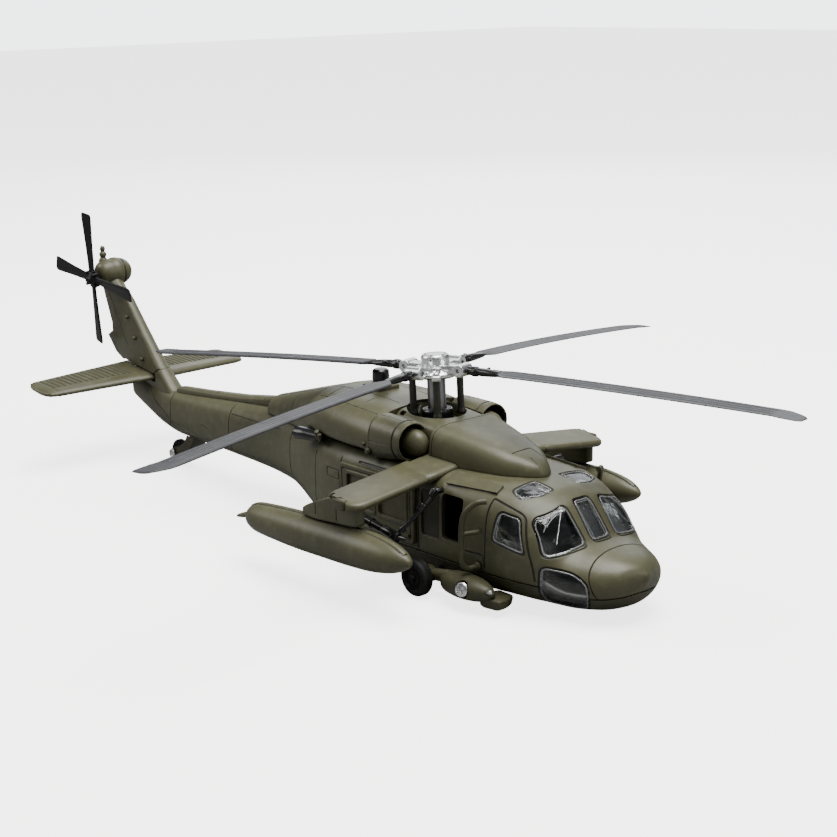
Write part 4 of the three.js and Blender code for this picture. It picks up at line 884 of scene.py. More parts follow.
def fin_blade():
    u = (1 - np.cos(np.linspace(0, math.pi, 44))) / 2
    w = fin_width(u)
    rings = []
    for (a, b) in zip(FIN[:-1], FIN[1:]):
        for k in range(8):
            f = k / 8
            xf, xb, z, t = [p + (q - p) * f for p, q in zip(a, b)]
            rings.append((xf, xb, z, t))
    rings.append(FIN[-1])
    out = []
    for xf, xb, z, t in rings:
        x = xf - (xf - xb) * u
        out.append(np.concatenate([np.stack([x, t * w, np.full_like(x, z)], 1), np.stack([x, -t * w, np.full_like(x, z)], 1)[::-1][1:-1]]))
    return skin(out)


CANT = math.radians(TAIL_CANT)
TAXIS = np.array([0, -math.cos(CANT), -math.sin(CANT)])


def along(d):
    return np.array(TAIL_HUB) + TAXIS * d


fin = boolean(join([hull.solid(-104, -127.8, 0, 128, 1.1), fin_blade()]), [fold_zone(-SEAM)], "INTERSECT")
fin_cut = [stab_slot, box(-150, -120, -8, 8, 45.3, 60)]
seam = [(-121.5, 22.9), (-119.6, 22.9), (-117.9, 23.4), (-115.6, 24.9), (-113.7, 26.0)]
path = [(x, fin_half(x, z), z) for x, z in seam] + [(-112.9, 0.9, 26.3), (-112.75, 0, 26.35), (-112.9, -0.9, 26.3)] + [(x, -fin_half(x, z), z) for x, z in seam[::-1]]
fin_cut.append(sweep(smooth(path, 5), 0.26, 8, up=(0, 0, 1)))
for s in (1, -1):
    q = np.array(smooth([(x, s * fin_half(x, z), z) for x, z in ((-119.8, 23.4), (-129.6, 30.5), (-134.2, 36.5), (-139.4, 44.6))], 8))
    fin_cut.append(sweep(q, 0.17, 6, up=(0, s, 0)))
    q = hull.project([(x, s * 3.2, z) for x, z in ((-106.3, 13.4), (-110.5, 15.4), (-114.5, 17.4), (-117.2, 20.4))])
    fin_cut.append(sweep(smooth(q, 5), 0.16, 6, up=(0, s, 0)))
fin = boolean(fin, fin_cut)
bumps = [turned(soften([(0, -0.8), (0.58, -0.8), (0.5, 0.4), (0, 0.52)], 0.25), "y", (x, -fin_half(x, z), z), 20) for x, z in ((-129.0, 38.8), (-125.4, 33.3), (-121.9, 27.8), (-126.0, 24.9))]
fin = boolean(fin, bumps, "UNION")
piece("tail_fin_fine", fin, "paint", stands_for="tail_fin", surfs=[(hull, 0, 1)], angle=32)

GEARBOX_AT = (-138.8, 0, 50.3)
gp = [(0, -4.5)] + [tuple(p) for p in smooth([(0.02, -4.5), (1.3, -4.45), (2.2, -4.2), (2.95, -3.55), (3.45, -2.5), (3.7, -1.3), (3.78, -0.4)], 6)[1:]]
gp += [(3.8, 0.1), (4.0, 0.5), (4.05, 1.1), (3.98, 1.8), (3.86, 2.25), (3.5, 2.35), (3.5, 2.75), (3.72, 2.85)]
gp += [tuple(p) for p in smooth([(3.72, 2.9), (3.55, 3.6), (3.1, 4.5), (2.3, 5.35), (1.2, 5.85), (0.02, 6.0)], 6)[1:-1]] + [(0, 6.0)]
gb = turned(gp, "y", GEARBOX_AT, 72)
neck = skin([[(x, y, z) for x, y in rounded([(xb, -0.45), (xb + 1.4, -t), (xf - 1.2, -t), (xf, -0.5), (xf, 0.5), (xf - 1.2, t), (xb + 1.4, t), (xb, 0.45)], 0.35, 3)]
             for xf, xb, z, t in ((-131.3, -143.2, 45.6, 1.35), (-132.3, -142.9, 46.4, 1.5), (-133.8, -142.5, 47.4, 1.9), (-135.6, -142.0, 49.0, 2.3))])
finial = turned(soften([(0, -2.4), (1.25, -2.4), (1.3, -0.4), (1.1, 0.3), (0.8, 0.6), (0.78, 0.95), (1.05, 1.3), (1.0, 2.0), (0.6, 2.35), (0.55, 2.6), (0.78, 2.95), (0.7, 3.6), (0.35, 4.0), (0, 4.05)], 0.22, 3), "z", (-141.3, -0.9, 53.6), 28)
stub = rod(along(-3), along(0.05), 0.6, 0.6, 20)
piece("tail_gearbox_fine", boolean(gb, [neck, finial, stub], "UNION"), "paint", stands_for="tail_gearbox", angle=35,
      wash=lambda c: ((np.hypot(c[:, 0] - GEARBOX_AT[0], c[:, 2] - GEARBOX_AT[2]) < 3.68) & (c[:, 1] > 2.3) & (c[:, 1] < 2.8)) * 1.0)

# ---- covers round the rotor head ---------------------------------------------------------------------------
roof_clear = hull.solid(50, -44, -0.06, 144, 1.2)
well = turned([(0, 0), (6.7, 0), (6.7, 2.6), (6.95, 3.2), (6.95, 12), (0, 12)], "z", (0.1, 0, 31.4), 72)
mast_hole = turned([(0, 0), (2.6, 0), (2.6, 20), (0, 20)], "z", (0.2, 0, 27.0), 40)


def on(surface, pts, r=0.16, **k):
    return surface.groove(pts, r=r, **k)


f_lines = [on(fairing, [(28.1, -3.5, 30.0), (27.9, 2.1, 30.2), (31.2, 2.5, 29.2)], corner=0.5, r=0.15),
           on(fairing, [(31.1, -0.8, 29.2), (33.0, -1.0, 28.3), (34.2, -0.9, 27.5)], r=0.15),
           on(fairing, [(9.9, -11.6, 25.4), (9.9, -8.0, 33.4), (9.9, 8.0, 33.4), (9.9, 11.6, 25.4)], r=0.1, corner=3)]
fair = boolean(fairing.solid(34.9, 9.3, 0, 128, 0.8), [roof_clear, fairing.solid(31.4, 10.4, WALL, 64, 2)] + f_lines)
piece("front_fairing_fine", fair, "paint", stands_for="front_fairing", surfs=[(fairing, 0, 1)], tip=33.0)

dk = boolean(deck_s.solid(8.95, -5.1, 0, 96, 1.0), [well, mast_hole, roof_clear, box(-4.4, -2.9, -7.7, -6.5, 33.4, 36), box(-4.4, -2.9, 6.5, 7.7, 33.4, 36)])
piece("mast_deck_fine", dk, "paint", stands_for="mast_deck", surfs=[(deck_s, 0, 1)])

pedestal = moved(skin([[(x * w, y * w, z) for x, y in rounded([(-3.3, -3.1), (3.3, -3.1), (3.3, 3.1), (-3.3, 3.1)], 0.5)] for z, w in ((34.4, 1.0), (36.9, 1.0), (37.15, 0.93))]), lambda p: p + [CAP_AT[0], CAP_AT[1], 0])
cap_hole = turned([(0, 0), (2.2, 0), (2.2, 6), (0, 6)], "z", (*CAP_AT, 35.4), 40)
b_lines = []
for s in (1, -1):
    b_lines += [on(bay_s, [(-7.5, s * 5.2, 36), (-31.5, s * 4.6, 36)], r=0.12),
                on(bay_s, [(-7.2, s * 11.6, 34.0), (-31.0, s * 9.4, 34.0)], r=0.12),
                on(bay_s, [(-27.5, s * 4.6, 36), (-27.5, s * 9.8, 34.0)], r=0.12),
                on(bay_s, [(-14.0, s * 5.2, 36), (-14.0, s * 11.2, 34.0)], r=0.12),
                extrude([(-24.5, 25.5), (-24.5, 27.05), (-8.2, 26.5), (-8.2, 25.6)], "y", *((14.1, 24) if s > 0 else (-24, -14.1)))]
bay = boolean(bay_s.solid(-5.55, -33.0, 0, 144, 0.9), [roof_clear, hull.solid(-40, -49, -0.06, 96, 1.2), bay_s.solid(-6.6, -31.8, WALL, 64, 2)])
bay = boolean(boolean(bay, [pedestal], "UNION"), [cap_hole, well, deck_s.solid(8.9, -5.3, -0.12, 64, 1.5), spine_s.solid(-33.2, -58.5, -0.1, 64, 2)] + b_lines)
piece("engine_bay_cover_fine", bay, "paint", stands_for="engine_bay_cover", surfs=[(bay_s, 0, 1)])

sp_lines = [on(spine_s, [(-35, s * 4.0, 34), (-57, s * 2.0, 28)], r=0.12) for s in (1, -1)] + [on(spine_s, [(-46, -8, 28), (-46, 0, 32), (-46, 8, 28)], r=0.12)]
sp = boolean(spine_s.solid(-33.35, -58.6, 0, 112, 1.0), [hull.solid(-28, -82, -0.06, 112, 1.2)] + sp_lines)
piece("spine_fairing_fine", sp, "paint", stands_for="spine_fairing", surfs=[(spine_s, 0, 1)])

rings = []
for x, z, w in [tuple(np.interp(x, [r[0] for r in BOOM_COVER[::-1]], [r[k] for r in BOOM_COVER[::-1]]) if k else x for k in range(3)) for x in np.linspace(-59.1, -106.5, 48)]:
    a = np.linspace(0, math.pi, 15)
    rings.append([(x, w, z - 6)] + [(x, w * math.copysign(abs(math.cos(t)) ** 0.7, math.cos(t)), z - 1.4 + 1.4 * math.sin(t) ** 0.8) for t in a] + [(x, -w, z - 6)])
top_cover = boolean(skin(rings), [hull.solid(-50, -129, -0.06, 96, 1.2), fold_zone(0.15)]
                    + [box(x - 0.14, x + 0.14, -4, 4, z, z + 5) for x, z in ((-64.2, 25.95), (-86.8, 23.55))])
piece("boom_top_cover_fine", top_cover, "paint", stands_for="boom_top_cover", angle=30)
cap = turned(soften([(0, 0), (2.05, 0), (2.05, 1.0), (1.85, 1.15), (1.85, 1.5), (2.05, 1.65), (2.0, 3.7), (1.55, 4.2), (0, 4.3)], 0.22, 4), "z", (*CAP_AT, 36.6), 48)
piece("top_cap_fine", cap, "black", "cap_button", "top_cap")

# ---- engines -------------------------------------------------------------------------------------------------


def oval(x, ry, rz, y=ENG_Y, z=ENG_Z, n=72, p=2.0):
    a = np.arange(n) / n * 2 * math.pi
    c, s = np.cos(a), np.sin(a)
    return np.stack([np.full(n, x), y + ry * np.sign(c) * np.abs(c) ** (2 / p), z + rz * np.sign(s) * np.abs(s) ** (2 / p)], 1)


nac = skin([oval(x, a, b, y, z, p=p) for x, a, b, y, z, p in (
    (5.3, 3.95, 3.85, 12.3, 30.1, 2.05), (5.6, 4.05, 3.95, 12.3, 30.1, 2.05), (5.75, 4.2, 4.1, 12.3, 30.1, 2.05), (5.65, 4.36, 4.26, 12.3, 30.1, 2.05), (5.25, 4.47, 4.38, 12.3, 30.1, 2.05),
    (4.6, 4.5, 4.42, 12.3, 30.1, 2.1), (3.75, 4.5, 4.44, 12.3, 30.1, 2.1), (3.62, 4.32, 4.26, 12.3, 30.1, 2.1), (3.4, 4.32, 4.26, 12.3, 30.1, 2.1), (3.26, 4.52, 4.5, 12.3, 30.1, 2.15),
    (2.2, 4.55, 4.6, 12.25, 30.0, 2.2), (-1.0, 4.6, 4.95, 12.1, 29.75, 2.25), (-4.6, 4.62, 5.28, 11.92, 29.5, 2.3), (-4.85, 4.45, 5.1, 11.9, 29.5, 2.3), (ENG_BACK - 0.15, 4.4, 5.05, 11.9, 29.5, 2.3))])
web = extrude([(ENG_BACK - 0.1, 26.0), (2.2, 26.0), (2.2, 32.0), (ENG_BACK - 0.1, 33.2)], "y", 8.8, 12.0)
nac = boolean(nac, [web], "UNION")
bore = skin([oval(ENG_FRONT + 1, 4.3, 4.2), oval(ENG_FRONT + 0.1, 4.12, 4.02), oval(ENG_FRONT - 0.7, 4.05, 3.95), oval(ENG_FRONT - 3, 3.9, 3.85), oval(ENG_FRONT - 5.5, 3.7, 3.7)])
seat_cut = rod((ENG_FRONT - 6.4, PLUG_Y, PLUG_Z), (ENG_FRONT - 3.4, PLUG_Y, PLUG_Z), 1.75, 1.75, 32)
n_cut = [bore, seat_cut, roof_clear, box(-6, 10, 0, 8.82, 20, 40), fairing.solid(34.8, 9.1, -0.12, 64, 1.5),
         sweep([(-4.7, 16.56, 29.2), (-1.0, 16.74, 29.3), (3.2, 16.86, 29.4)], 0.15, 6), sweep([(-4.6, 13.0, 34.62), (-1.0, 13.0, 34.5), (3.2, 13.0, 34.42)], 0.14, 6)]
nac = boolean(nac, n_cut)
# The wash here marks the dark joint at the rear step and the ring groove behind the lip, and puts painted shade on the
# faces inside the intake bore.
pair("engine_nacelle", nac, "paint", angle=32, wash=lambda c: (c[:, 0] < -4.62) * 0.9 + ((c[:, 0] > 3.3) & (c[:, 0] < 3.7)) * 0.8 * (np.hypot(np.abs(c[:, 1]) - 12.3, c[:, 2] - 30.1) > 4.1)
     + ((c[:, 0] < 5.2) & (np.hypot((np.abs(c[:, 1]) - 12.3) / 4.2, (c[:, 2] - 30.1) / 4.1) < 1.0)) * 0.95)
pl = smooth([(2.4, 0.0), (2.65, 1.0), (2.95, 2.4), (3.05, 3.6), (2.85, 5.1), (2.3, 6.3), (1.4, 7.15), (0.5, 7.45), (0.02, 7.5)], 8)
plug = turned([(0, 0.0)] + [tuple(p) for p in pl[:-1]] + [(0, 7.5)], "x", (0, 0, 0), 72)
plug = moved(plug, lambda p: p * [1, 0.84, 1] + [ENG_FRONT - 4.2, PLUG_Y, PLUG_Z])
plug = boolean(plug, [rod((ENG_FRONT - 6.2, PLUG_Y, PLUG_Z), (ENG_FRONT - 3.6, PLUG_Y, PLUG_Z), 1.6, 1.6, 32)], "UNION")
pair("inlet_plug", plug, "paint", angle=50)
ex = skin([oval(-26.6, 1.7, 1.2, 13.2, 25.4, 48), oval(-30.2, 2.0, 1.5, 13.8, 25.5, 48), oval(-33.0, 2.1, 1.6, 14.55, 25.6, 48), oval(-33.2, 2.0, 1.5, 14.6, 25.6, 48)])
ex = boolean(ex, [skin([oval(-28.8, 1.1, 0.8, 13.7, 25.5, 48), oval(-31.0, 1.45, 1.05, 14.1, 25.55, 48), oval(-34.2, 1.8, 1.3, 14.9, 25.65, 48)]),
                  bay_s.solid(-5.4, -33.0, -0.12, 96, 1.5), hull.solid(0, -49, -0.12, 96, 1.5)])
pair("exhaust_pipe", ex, "black")

# small bolts and brackets on the engine bay sides
for s, tag in ((1, "left"), (-1, "right")):
    bits = [turned(soften([(0, -1.2), (0.85, -1.2), (0.85, 0.5), (0.6, 0.85), (0, 0.9)], 0.2, 3), "y", (-5.3, 0, 26.6), 24),
            turned(soften([(0, -1.0), (0.55, -1.0), (0.55, 0.4), (0.35, 0.6), (0, 0.62)], 0.14, 3), "y", (-7.2, 0, 27.9), 20)]
    for k, b in enumerate(bits):
        b = side(moved(b, lambda p, k=k: p + [0, 16.0 if k == 0 else 15.75, 0]), s)
        piece(f"bay_bolt_{k + 1}_{tag}", b, "plastic")
    clip = join([rod((-26.6, 14.1, 26.6), (-24.6, 14.9, 26.2), 0.5), rod((-26.2, 14.3, 25.2), (-25.4, 15.3, 27.4), 0.55), rod((-24.9, 14.7, 25.0), (-24.5, 15.2, 26.8), 0.5)])
    piece(f"bay_clip_{tag}", side(clip, s), "plastic")

# ---- wings, pylons, tanks ------------------------------------------------------------------------------------


def wing_ring(y, grow=0.0, drop=0.0):
    u = (y - WING["y0"]) / (WING["y1"] - WING["y0"])
    z, t, w = WING["z0"] + (WING["z1"] - WING["z0"]) * u, WING["t"], WING["w"]
    tip = max(0.0, (y - 34.9) / 3.5)
    le, te = WING["le"] - 3.0 * (1 - math.sqrt(max(0.0, 1 - tip * tip))), WING["te"] + 1.5 * (1 - math.sqrt(max(0.0, 1 - tip * tip)))
    t *= 1 - 0.25 * tip ** 4
    ring = [(te, w - 0.75), (te + 0.2, w - 0.25), (te + 1, w), (le - 1.2, -w), (le - 0.3, -w - 0.35), (le, -w - 0.95), (le - 0.4, -w - t * 0.86), (le - 1.6, -w - t), (te + 1.2, w - t * 0.8)]
    P = rounded(ring, 0.55, 4)
    c = np.mean(P, axis=0)
    P = [c + (p - c) * (1 + grow) for p in P]
    return [(x, y, z + q - drop) for x, q in P]


ys = [9.0, 12, 15, 17.6, 17.7, 18.1, 18.2, 22, 26, 30, 33, 34.4] + list(34.9 + 3.5 * np.sin(np.linspace(0, math.pi / 2, 12)))[:-1] + [38.38]
rings = [wing_ring(y, grow=-0.035 if 17.65 < y < 18.15 else 0.0) for y in ys]
nac_clear = skin([oval(ENG_FRONT + 3, 4.9, 4.7), oval(ENG_BACK - 2, 4.9, 4.85)])
wing = boolean(skin(rings), [roof_clear, nac_clear, fairing.solid(34.8, 8.9, -0.12, 64, 1.5), extrude(rounded([(9.5, 21.3), (13.6, 21.3), (13.6, 23.95), (9.5, 23.95)], 0.6), "y", 37.5, 40),
                             box(8.6, 9.35, 37.3, 40, 23.3, 25.5)])
pair("wing", wing, "paint", angle=42)
lens = skin([[(x, y, z) for x, z in rounded(inset([(9.62, 21.42), (13.48, 21.42), (13.48, 23.83), (9.62, 23.83)], d), 0.6, 5)] for y, d in ((37.55, 0), (38.55, 0), (38.75, 0.08), (38.85, 0.3))])
for s, tag in ((1, "left"), (-1, "right")):
    piece(f"wing_tip_lamp_{tag}", side(lens, s), "plastic", angle=60)

PY = [(15.2, 0.5, 18.2, 23), (14.2, 1.2, 17.6, 23), (11, 1.5, 17.3, 23), (8, 1.6, 17.1, 23), (4.3, 1.75, 16.85, 22.0), (1.5, 1.8, 16.65, 20.9), (-1.7, 1.6, 16.55, 19.5), (-3.9, 1.1, 16.6, 18.35), (-4.8, 0.6, 16.8, 17.7)]
rings = []
for x, w, z0, z1 in smooth([(15.35, 0.25, 18.5, 23)] + PY + [(-5.05, 0.2, 17.0, 17.35)], 6):
    P = rounded([(-w, z0), (w, z0), (w, z1 - 0.1), (0.6 * w, z1), (-0.6 * w, z1), (-w, z1 - 0.1)], min(0.45, 0.6 * w), 4)
    rings.append([(x, TANK_Y + y, z) for y, z in P])
pyl = boolean(skin(rings), [skin([wing_ring(y, 0, 0.16) for y in (30, 34.9, 36.4, 37.6, 38.2, 38.4)]), box(-10, 30, 30, 40, 22.7, 30),
                            box(1.2, 1.45, 36.2, 37.5, 17.8, 22), box(8.2, 8.45, 36.2, 37.5, 17.8, 22)])
pair("wing_pylon", pyl, "paint", angle=40)

tp = smooth([(0.02, -25.0), (1.35, -24.9), (2.3, -24.35), (2.8, -23.3), (3.45, -20.6), (3.95, -13), (4.25, -5), (4.3, 3), (4.3, 12), (4.0, 19.5), (3.1, 25.2), (1.9, 28.6), (0.75, 30.3), (0.02, 30.6)], 9)
tank = turned([(0, -25.0)] + [tuple(p) for p in tp[1:-1]] + [(0, 30.6)], "x", (0, 0, 0), 96)
bill = skin([[(x, w * math.cos(a), zc + h * math.sin(a)) for a in np.arange(24) / 24 * 2 * math.pi] for x, w, h, zc in
             ((-22.5, 1.6, 1.2, 0.5), (-25.0, 1.5, 0.9, 0.2), (-27.2, 1.35, 0.7, -0.35), (-29.0, 1.2, 0.55, -0.8), (-30.0, 0.85, 0.4, -1.05), (-30.35, 0.4, 0.2, -1.1))])
ridge = [sweep([(x, 0, math.sqrt(max(0.0, np.interp(x, [p[1] for p in tp], [p[0] for p in tp]) ** 2 - 0.3)) + 0.02) for x in np.linspace(-24.2, 29.0, 60)], 0.62, 10, up=(0, 0, 1), flat=0.55)]
mer = [sweep([(x, sgn * 0.78, 0.02 + math.sqrt(max(0.04, np.interp(x, [p[1] for p in tp], [p[0] for p in tp]) ** 2 - 0.6))) for x in np.linspace(-23.6, 28.2, 60)], 0.14, 6, up=(0, 0, 1)) for sgn in (1, -1)]
mer.append(sweep([(x, 0, -np.interp(x, [p[1] for p in tp], [p[0] for p in tp])) for x in np.linspace(-24, 29.5, 60)], 0.14, 6, up=(0, 0, 1)))
tank = boolean(boolean(tank, [bill] + ridge, "UNION"), mer)
TR = rot("Y", -TANK_TILT)
tank = moved(tank, lambda p: p @ TR.T + [0, TANK_Y, TANK_Z])
tank = boolean(tank, [box(-6, 17, 33, 37, 17.15, 22)])
pair("fuel_tank", tank, "paint", angle=34)
for s, tag in ((1, "left"), (-1, "right")):
    piece(f"tank_lug_front_{tag}", side(rod((9.5, TANK_Y, 16.3), (9.5, TANK_Y, 17.8), 0.6, 0.6, 20), s), "black")
    piece(f"tank_lug_rear_{tag}", side(rod((2.0, TANK_Y, 16.1), (2.0, TANK_Y, 17.8), 0.6, 0.6, 20), s), "black")

# ---- undercarriage ---------------------------------------------------------------------------------------------
tyre = soften([(AXLE_R + 0.09, -1.1), (1.5, -1.1), (1.7, -0.75), (2.55, -0.7), (2.75, -1.35), (3.2, -1.5), (3.85, -1.28), (4.2, -0.7), (4.2, 0.7), (3.85, 1.28), (3.2, 1.5), (2.75, 1.35), (2.55, 0.7), (1.7, 0.75), (1.5, 1.1), (AXLE_R + 0.09, 1.1)], 0.22, 3)
tyre = tyre + [tyre[0]]
wheel = turned(tyre, "y", (0, 0, 0), 72)
wheel = boolean(wheel, [turned([(4.08, y - 0.1), (4.5, y - 0.1), (4.5, y + 0.1), (4.08, y + 0.1), (4.08, y - 0.1)], "y", (0, 0, 0), 72) for y in (-0.42, 0.0, 0.42)])
for s, tag in ((1, "left"), (-1, "right")):
    piece(f"main_wheel_{tag}_fine", moved(wheel, lambda p: p + [WHEEL["x"], s * WHEEL["y"], WHEEL["z"]]), "rubber", f"wheel_{tag}", f"main_wheel_{tag}")
axle = rod((WHEEL["x"], -24.4, WHEEL["z"]), (WHEEL["x"], 24.4, WHEEL["z"]), AXLE_R, AXLE_R, 32, 0.15)
piece("main_axle_fine", axle, "dark", stands_for="main_axle")

rows = smooth([(38.8, 0.35, 0.35), (38.2, 1.0, 0.95), (36.8, 2.0, 1.75), (33.8, 3.0, 2.4), (29.5, 3.3, 2.65), (25.8, 2.8, 2.25), (24.0, 1.7, 1.5)], 6)
pod = skin([oval(x, a, b, 19.6, 4.6, 56, 2.2) for x, a, b in rows])
leg = rod((24.9, 19.2, 5.2), (19.0, 19.2, 4.4), 1.5, 1.3, 32, 0.3)
boss = rod((WHEEL["x"], 18.2, WHEEL["z"]), (WHEEL["x"], 20.5, WHEEL["z"]), 1.9, 1.9, 40, 0.25)
plate = skin([[(x - 0.35 * max(0.0, 2.6 - z) * (x > 38), y, z) for x, y in rounded(inset([(35.0, 14.4), (39.6, 14.4), (41.0, 17.2), (40.9, 20.0), (36.0, 20.7), (34.4, 19.6)], d), 0.7, 4)] for z, d in ((1.5, 0.5), (1.9, 0.1), (3.3, 0), (3.65, 0.1), (3.8, 0.3))])
SD = np.array(SCREW_DIR) / np.linalg.norm(SCREW_DIR)


def screw_at(d):
    return np.array(SCREW_AT) + SD * d


axle_bore = rod((WHEEL["x"], 10, WHEEL["z"]), (WHEEL["x"], 30, WHEEL["z"]), AXLE_R + 0.12, AXLE_R + 0.12, 32)
hull_clear = hull.solid(60, 0, -0.15, 96, 1.6)
pod = boolean(join([pod, leg, boss, plate]), [rod(screw_at(-3.4), screw_at(2.5), 1.9, 1.9, 40, 0.01), hull_clear, axle_bore,
              sweep([(x, 19.6 + 0.2, z) for x, z in ((27.0, 7.45), (29.5, 7.8), (34.0, 7.45))], 0.12, 6)])
pair("gear_pod", pod, "plastic", angle=36)
head = turned(soften([(0, -3.0), (0.8, -3.0), (0.8, -0.2), (1.62, -0.2), (1.66, 0.12), (1.35, 0.48), (0, 0.62)], 0.16, 4), "z", (0, 0, 0), 56)
cross = []
for k in (0, 1):
    for w, l, z0 in ((0.19, 0.98, 0.12), (0.13, 1.12, 0.3)):
        c = skin([[(-l, -w, z0), (l, -w, z0), (l, w, z0), (-l, w, z0)], [(-l * 1.08, -w * 1.3, 1.0), (l * 1.08, -w * 1.3, 1.0), (l * 1.08, w * 1.3, 1.0), (-l * 1.08, w * 1.3, 1.0)]])
        cross.append(moved(c, lambda p, k=k: p @ rot("Z", 35 + 90 * k).T))
cross.append(turned([(0, -0.05), (0.3, 0.15), (0.55, 1.0), (0, 1.0)], "z", (0, 0, 0), 20))
head = boolean(head, cross)
SQ = np.array(Vector((0, 0, 1)).rotation_difference(Vector(SD)).to_matrix())
pair("pod_screw", moved(head, lambda p: p @ SQ.T + np.array(SCREW_AT)), "silver", angle=32)
for s, tag in ((1, "left"), (-1, "right")):
    piece(f"pod_pin_{tag}", side(rod((37.6, 20.3, 5.3), (39.3, 20.8, 5.7), 0.55, 0.45, 24, 0.2), s), "silver")

tw = TAIL_WHEEL
fork = extrude(rounded([(-96.5, 10.6), (-100.4, 10.4), (-101.5, 8.2), (-103.9, 6.3), (-107.0, 5.3), (-108.9, 4.5), (-109.0, 2.7), (-107.6, 1.9), (-105.0, 2.2), (-101.6, 3.9), (-98.6, 7.4)], 0.8, 4), "y", -2.4, 2.4)
fork = boolean(fork, [rod((tw[0], -1.5, tw[2]), (tw[0], 1.5, tw[2]), 3.9, 3.9, 56, 0.01), rod((tw[0], -4, tw[2]), (tw[0], 4, tw[2]), 0.7, 0.7, 28, 0.01), hull.solid(-90, -120, -0.1, 96, 1.5)])
piece("tail_wheel_fork_fine", fork, "plastic", stands_for="tail_wheel_fork")
tprof = soften([(0.64, -1.2), (1.3, -1.2), (1.5, -0.9), (2.1, -0.9), (2.4, -1.2), (2.9, -1.2), (3.5, -0.6), (3.5, 0.6), (2.9, 1.2), (2.4, 1.2), (2.1, 0.9), (1.5, 0.9), (1.3, 1.2), (0.64, 1.2)], 0.25, 3)
piece("tail_wheel_fine", turned(tprof + [tprof[0]], "y", tw, 64), "rubber", "tail_wheel_unit", "tail_wheel")
pin = join([rod((tw[0], -3.1, tw[2]), (tw[0], 2.9, tw[2]), 0.55, 0.55, 28), rod((tw[0], -3.3, tw[2]), (tw[0], -2.7, tw[2]), 1.3, 1.3, 40, 0.18), rod((tw[0], 2.7, tw[2]), (tw[0], 3.3, tw[2]), 1.3, 1.3, 40, 0.18)])
pin = boolean(pin, [turned([(0.55, -0.2), (0.8, -0.2), (0.8, 0.2), (0.55, 0.2), (0.55, -0.2)], "y", (tw[0], s * 3.3, tw[2]), 40) for s in (1, -1)])
piece("tail_wheel_pin_fine", pin, "silver", stands_for="tail_wheel_pin")

# ---- rails, guns, doors ------------------------------------------------------------------------------------------
rail = join([sweep(smooth([(34.2, 17.1, 23.6), (33.2, 19.0, 23.4), (31.4, 20.6, 21.2), (30.6, 20.9, 17.5), (30.5, 20.9, 12), (30.5, 20.7, 10.0), (30.7, 19.4, 8.6), (31.2, 17.1, 8.6)], 8), 0.62, 20),
             rod((30.6, 20.8, 16.4), (31.8, 17.0, 16.4), 0.5, 0.5, 20),
             rod((31.15, 17.5, 8.6), (31.2, 16.75, 8.6), 0.95, 0.95, 24)])
pair("grab_rail", boolean(rail, [roof_clear]), "plastic")
arm = join([sweep(smooth([(20.3, 18.4, 23.2), (19.6, 21.4, 20.2), (17.4, 24.6, 16.4), (15.6, 26.2, 14.2)], 8), 0.48, 16), rod((20.3, 16.9, 23.2), (20.3, 18.9, 23.2), 0.7, 0.7, 24),
            rod((20.0, 18.9, 23.6), (20.0, 20.0, 22.4), 0.72, 0.6, 20), rod((19.3, 21.4, 20.7), (18.7, 22.3, 19.5), 0.75, 0.75, 20), rod((16.8, 24.9, 15.6), (16.3, 25.5, 14.9), 0.72, 0.72, 20)])
body_ = join([rod((16.6, 26.4, 13.6), (11.6, 26.5, 14.5), 1.15, 1.05, 24, 0.25), rod((12.4, 26.5, 14.3), (3.4, 26.7, 15.9), 0.85, 1.1, 28, 0.15),
              rod((17.6, 25.2, 13.2), (15.0, 27.4, 14.0), 0.5, 0.5, 16), rod((3.9, 26.7, 15.8), (3.2, 26.7, 15.93), 1.22, 1.22, 28, 0.15), rod((8.4, 26.58, 15.0), (7.8, 26.6, 15.1), 1.12, 1.12, 28, 0.1)])
body_ = boolean(body_, [rod((5.0, 26.7, 15.6), (2.0, 26.7, 16.15), 0.55, 0.55, 20)])
pair("door_gun", join([arm, body_]), "black", ("gun_left", "gun_right"))

D = dict(x0=-14.6, x1=11.2, y=16.75, z0=8.6, z1=22.6)
outline = [(D["x0"], D["z0"]), (D["x1"], D["z0"]), (D["x1"], D["z1"]), (D["x0"], D["z1"])]


def plate_y(points, y0, y1, r, bev=0.12):
    return skin([[(x, y, z) for x, z in rounded(inset(points, d), r, 5)] for y, d in ((y0, 0), (y1 - bev, 0), (y1, bev))])


w1, w2 = [(-11.6, 13.2), (-2.2, 13.2), (-2.2, 20.6), (-11.6, 20.6)], [(-0.6, 13.2), (8.6, 13.2), (8.6, 20.6), (-0.6, 20.6)]
door = plate_y(outline, D["y"], D["y"] + 0.72, 1.0)
door = boolean(door, [extrude(rounded(w, 0.9), "y", D["y"] + 0.3, 19) for w in (w1, w2)] + [boolean(plate_y(inset(outline, 0.9), D["y"] + 0.5, 19, 0.8, 0.0), [extrude(rounded(inset(outline, 1.15), 0.7), "y", 15, 20)])])
frames_ = [boolean(plate_y(inset(w, -0.75), D["y"] + 0.4, D["y"] + 0.98, 1.3, 0.15), [extrude(rounded(w, 0.9), "y", 15, 19)]) for w in (w1, w2)]
handle = join([box(7.4, 10.0, D["y"] + 0.6, D["y"] + 1.25, 10.2, 10.8)])
door = boolean(door, frames_ + [handle], "UNION")
pair("cabin_door", door, "paint", ("door_left", "door_right"), angle=30)

# ---- interior -------------------------------------------------------------------------------------------------------
floor_ = boolean(hull.solid(52, -30, WALL + 0.45, 96, 1.5), [box(-28, 50, -18, 18, 8.0, 9.2)], "INTERSECT")


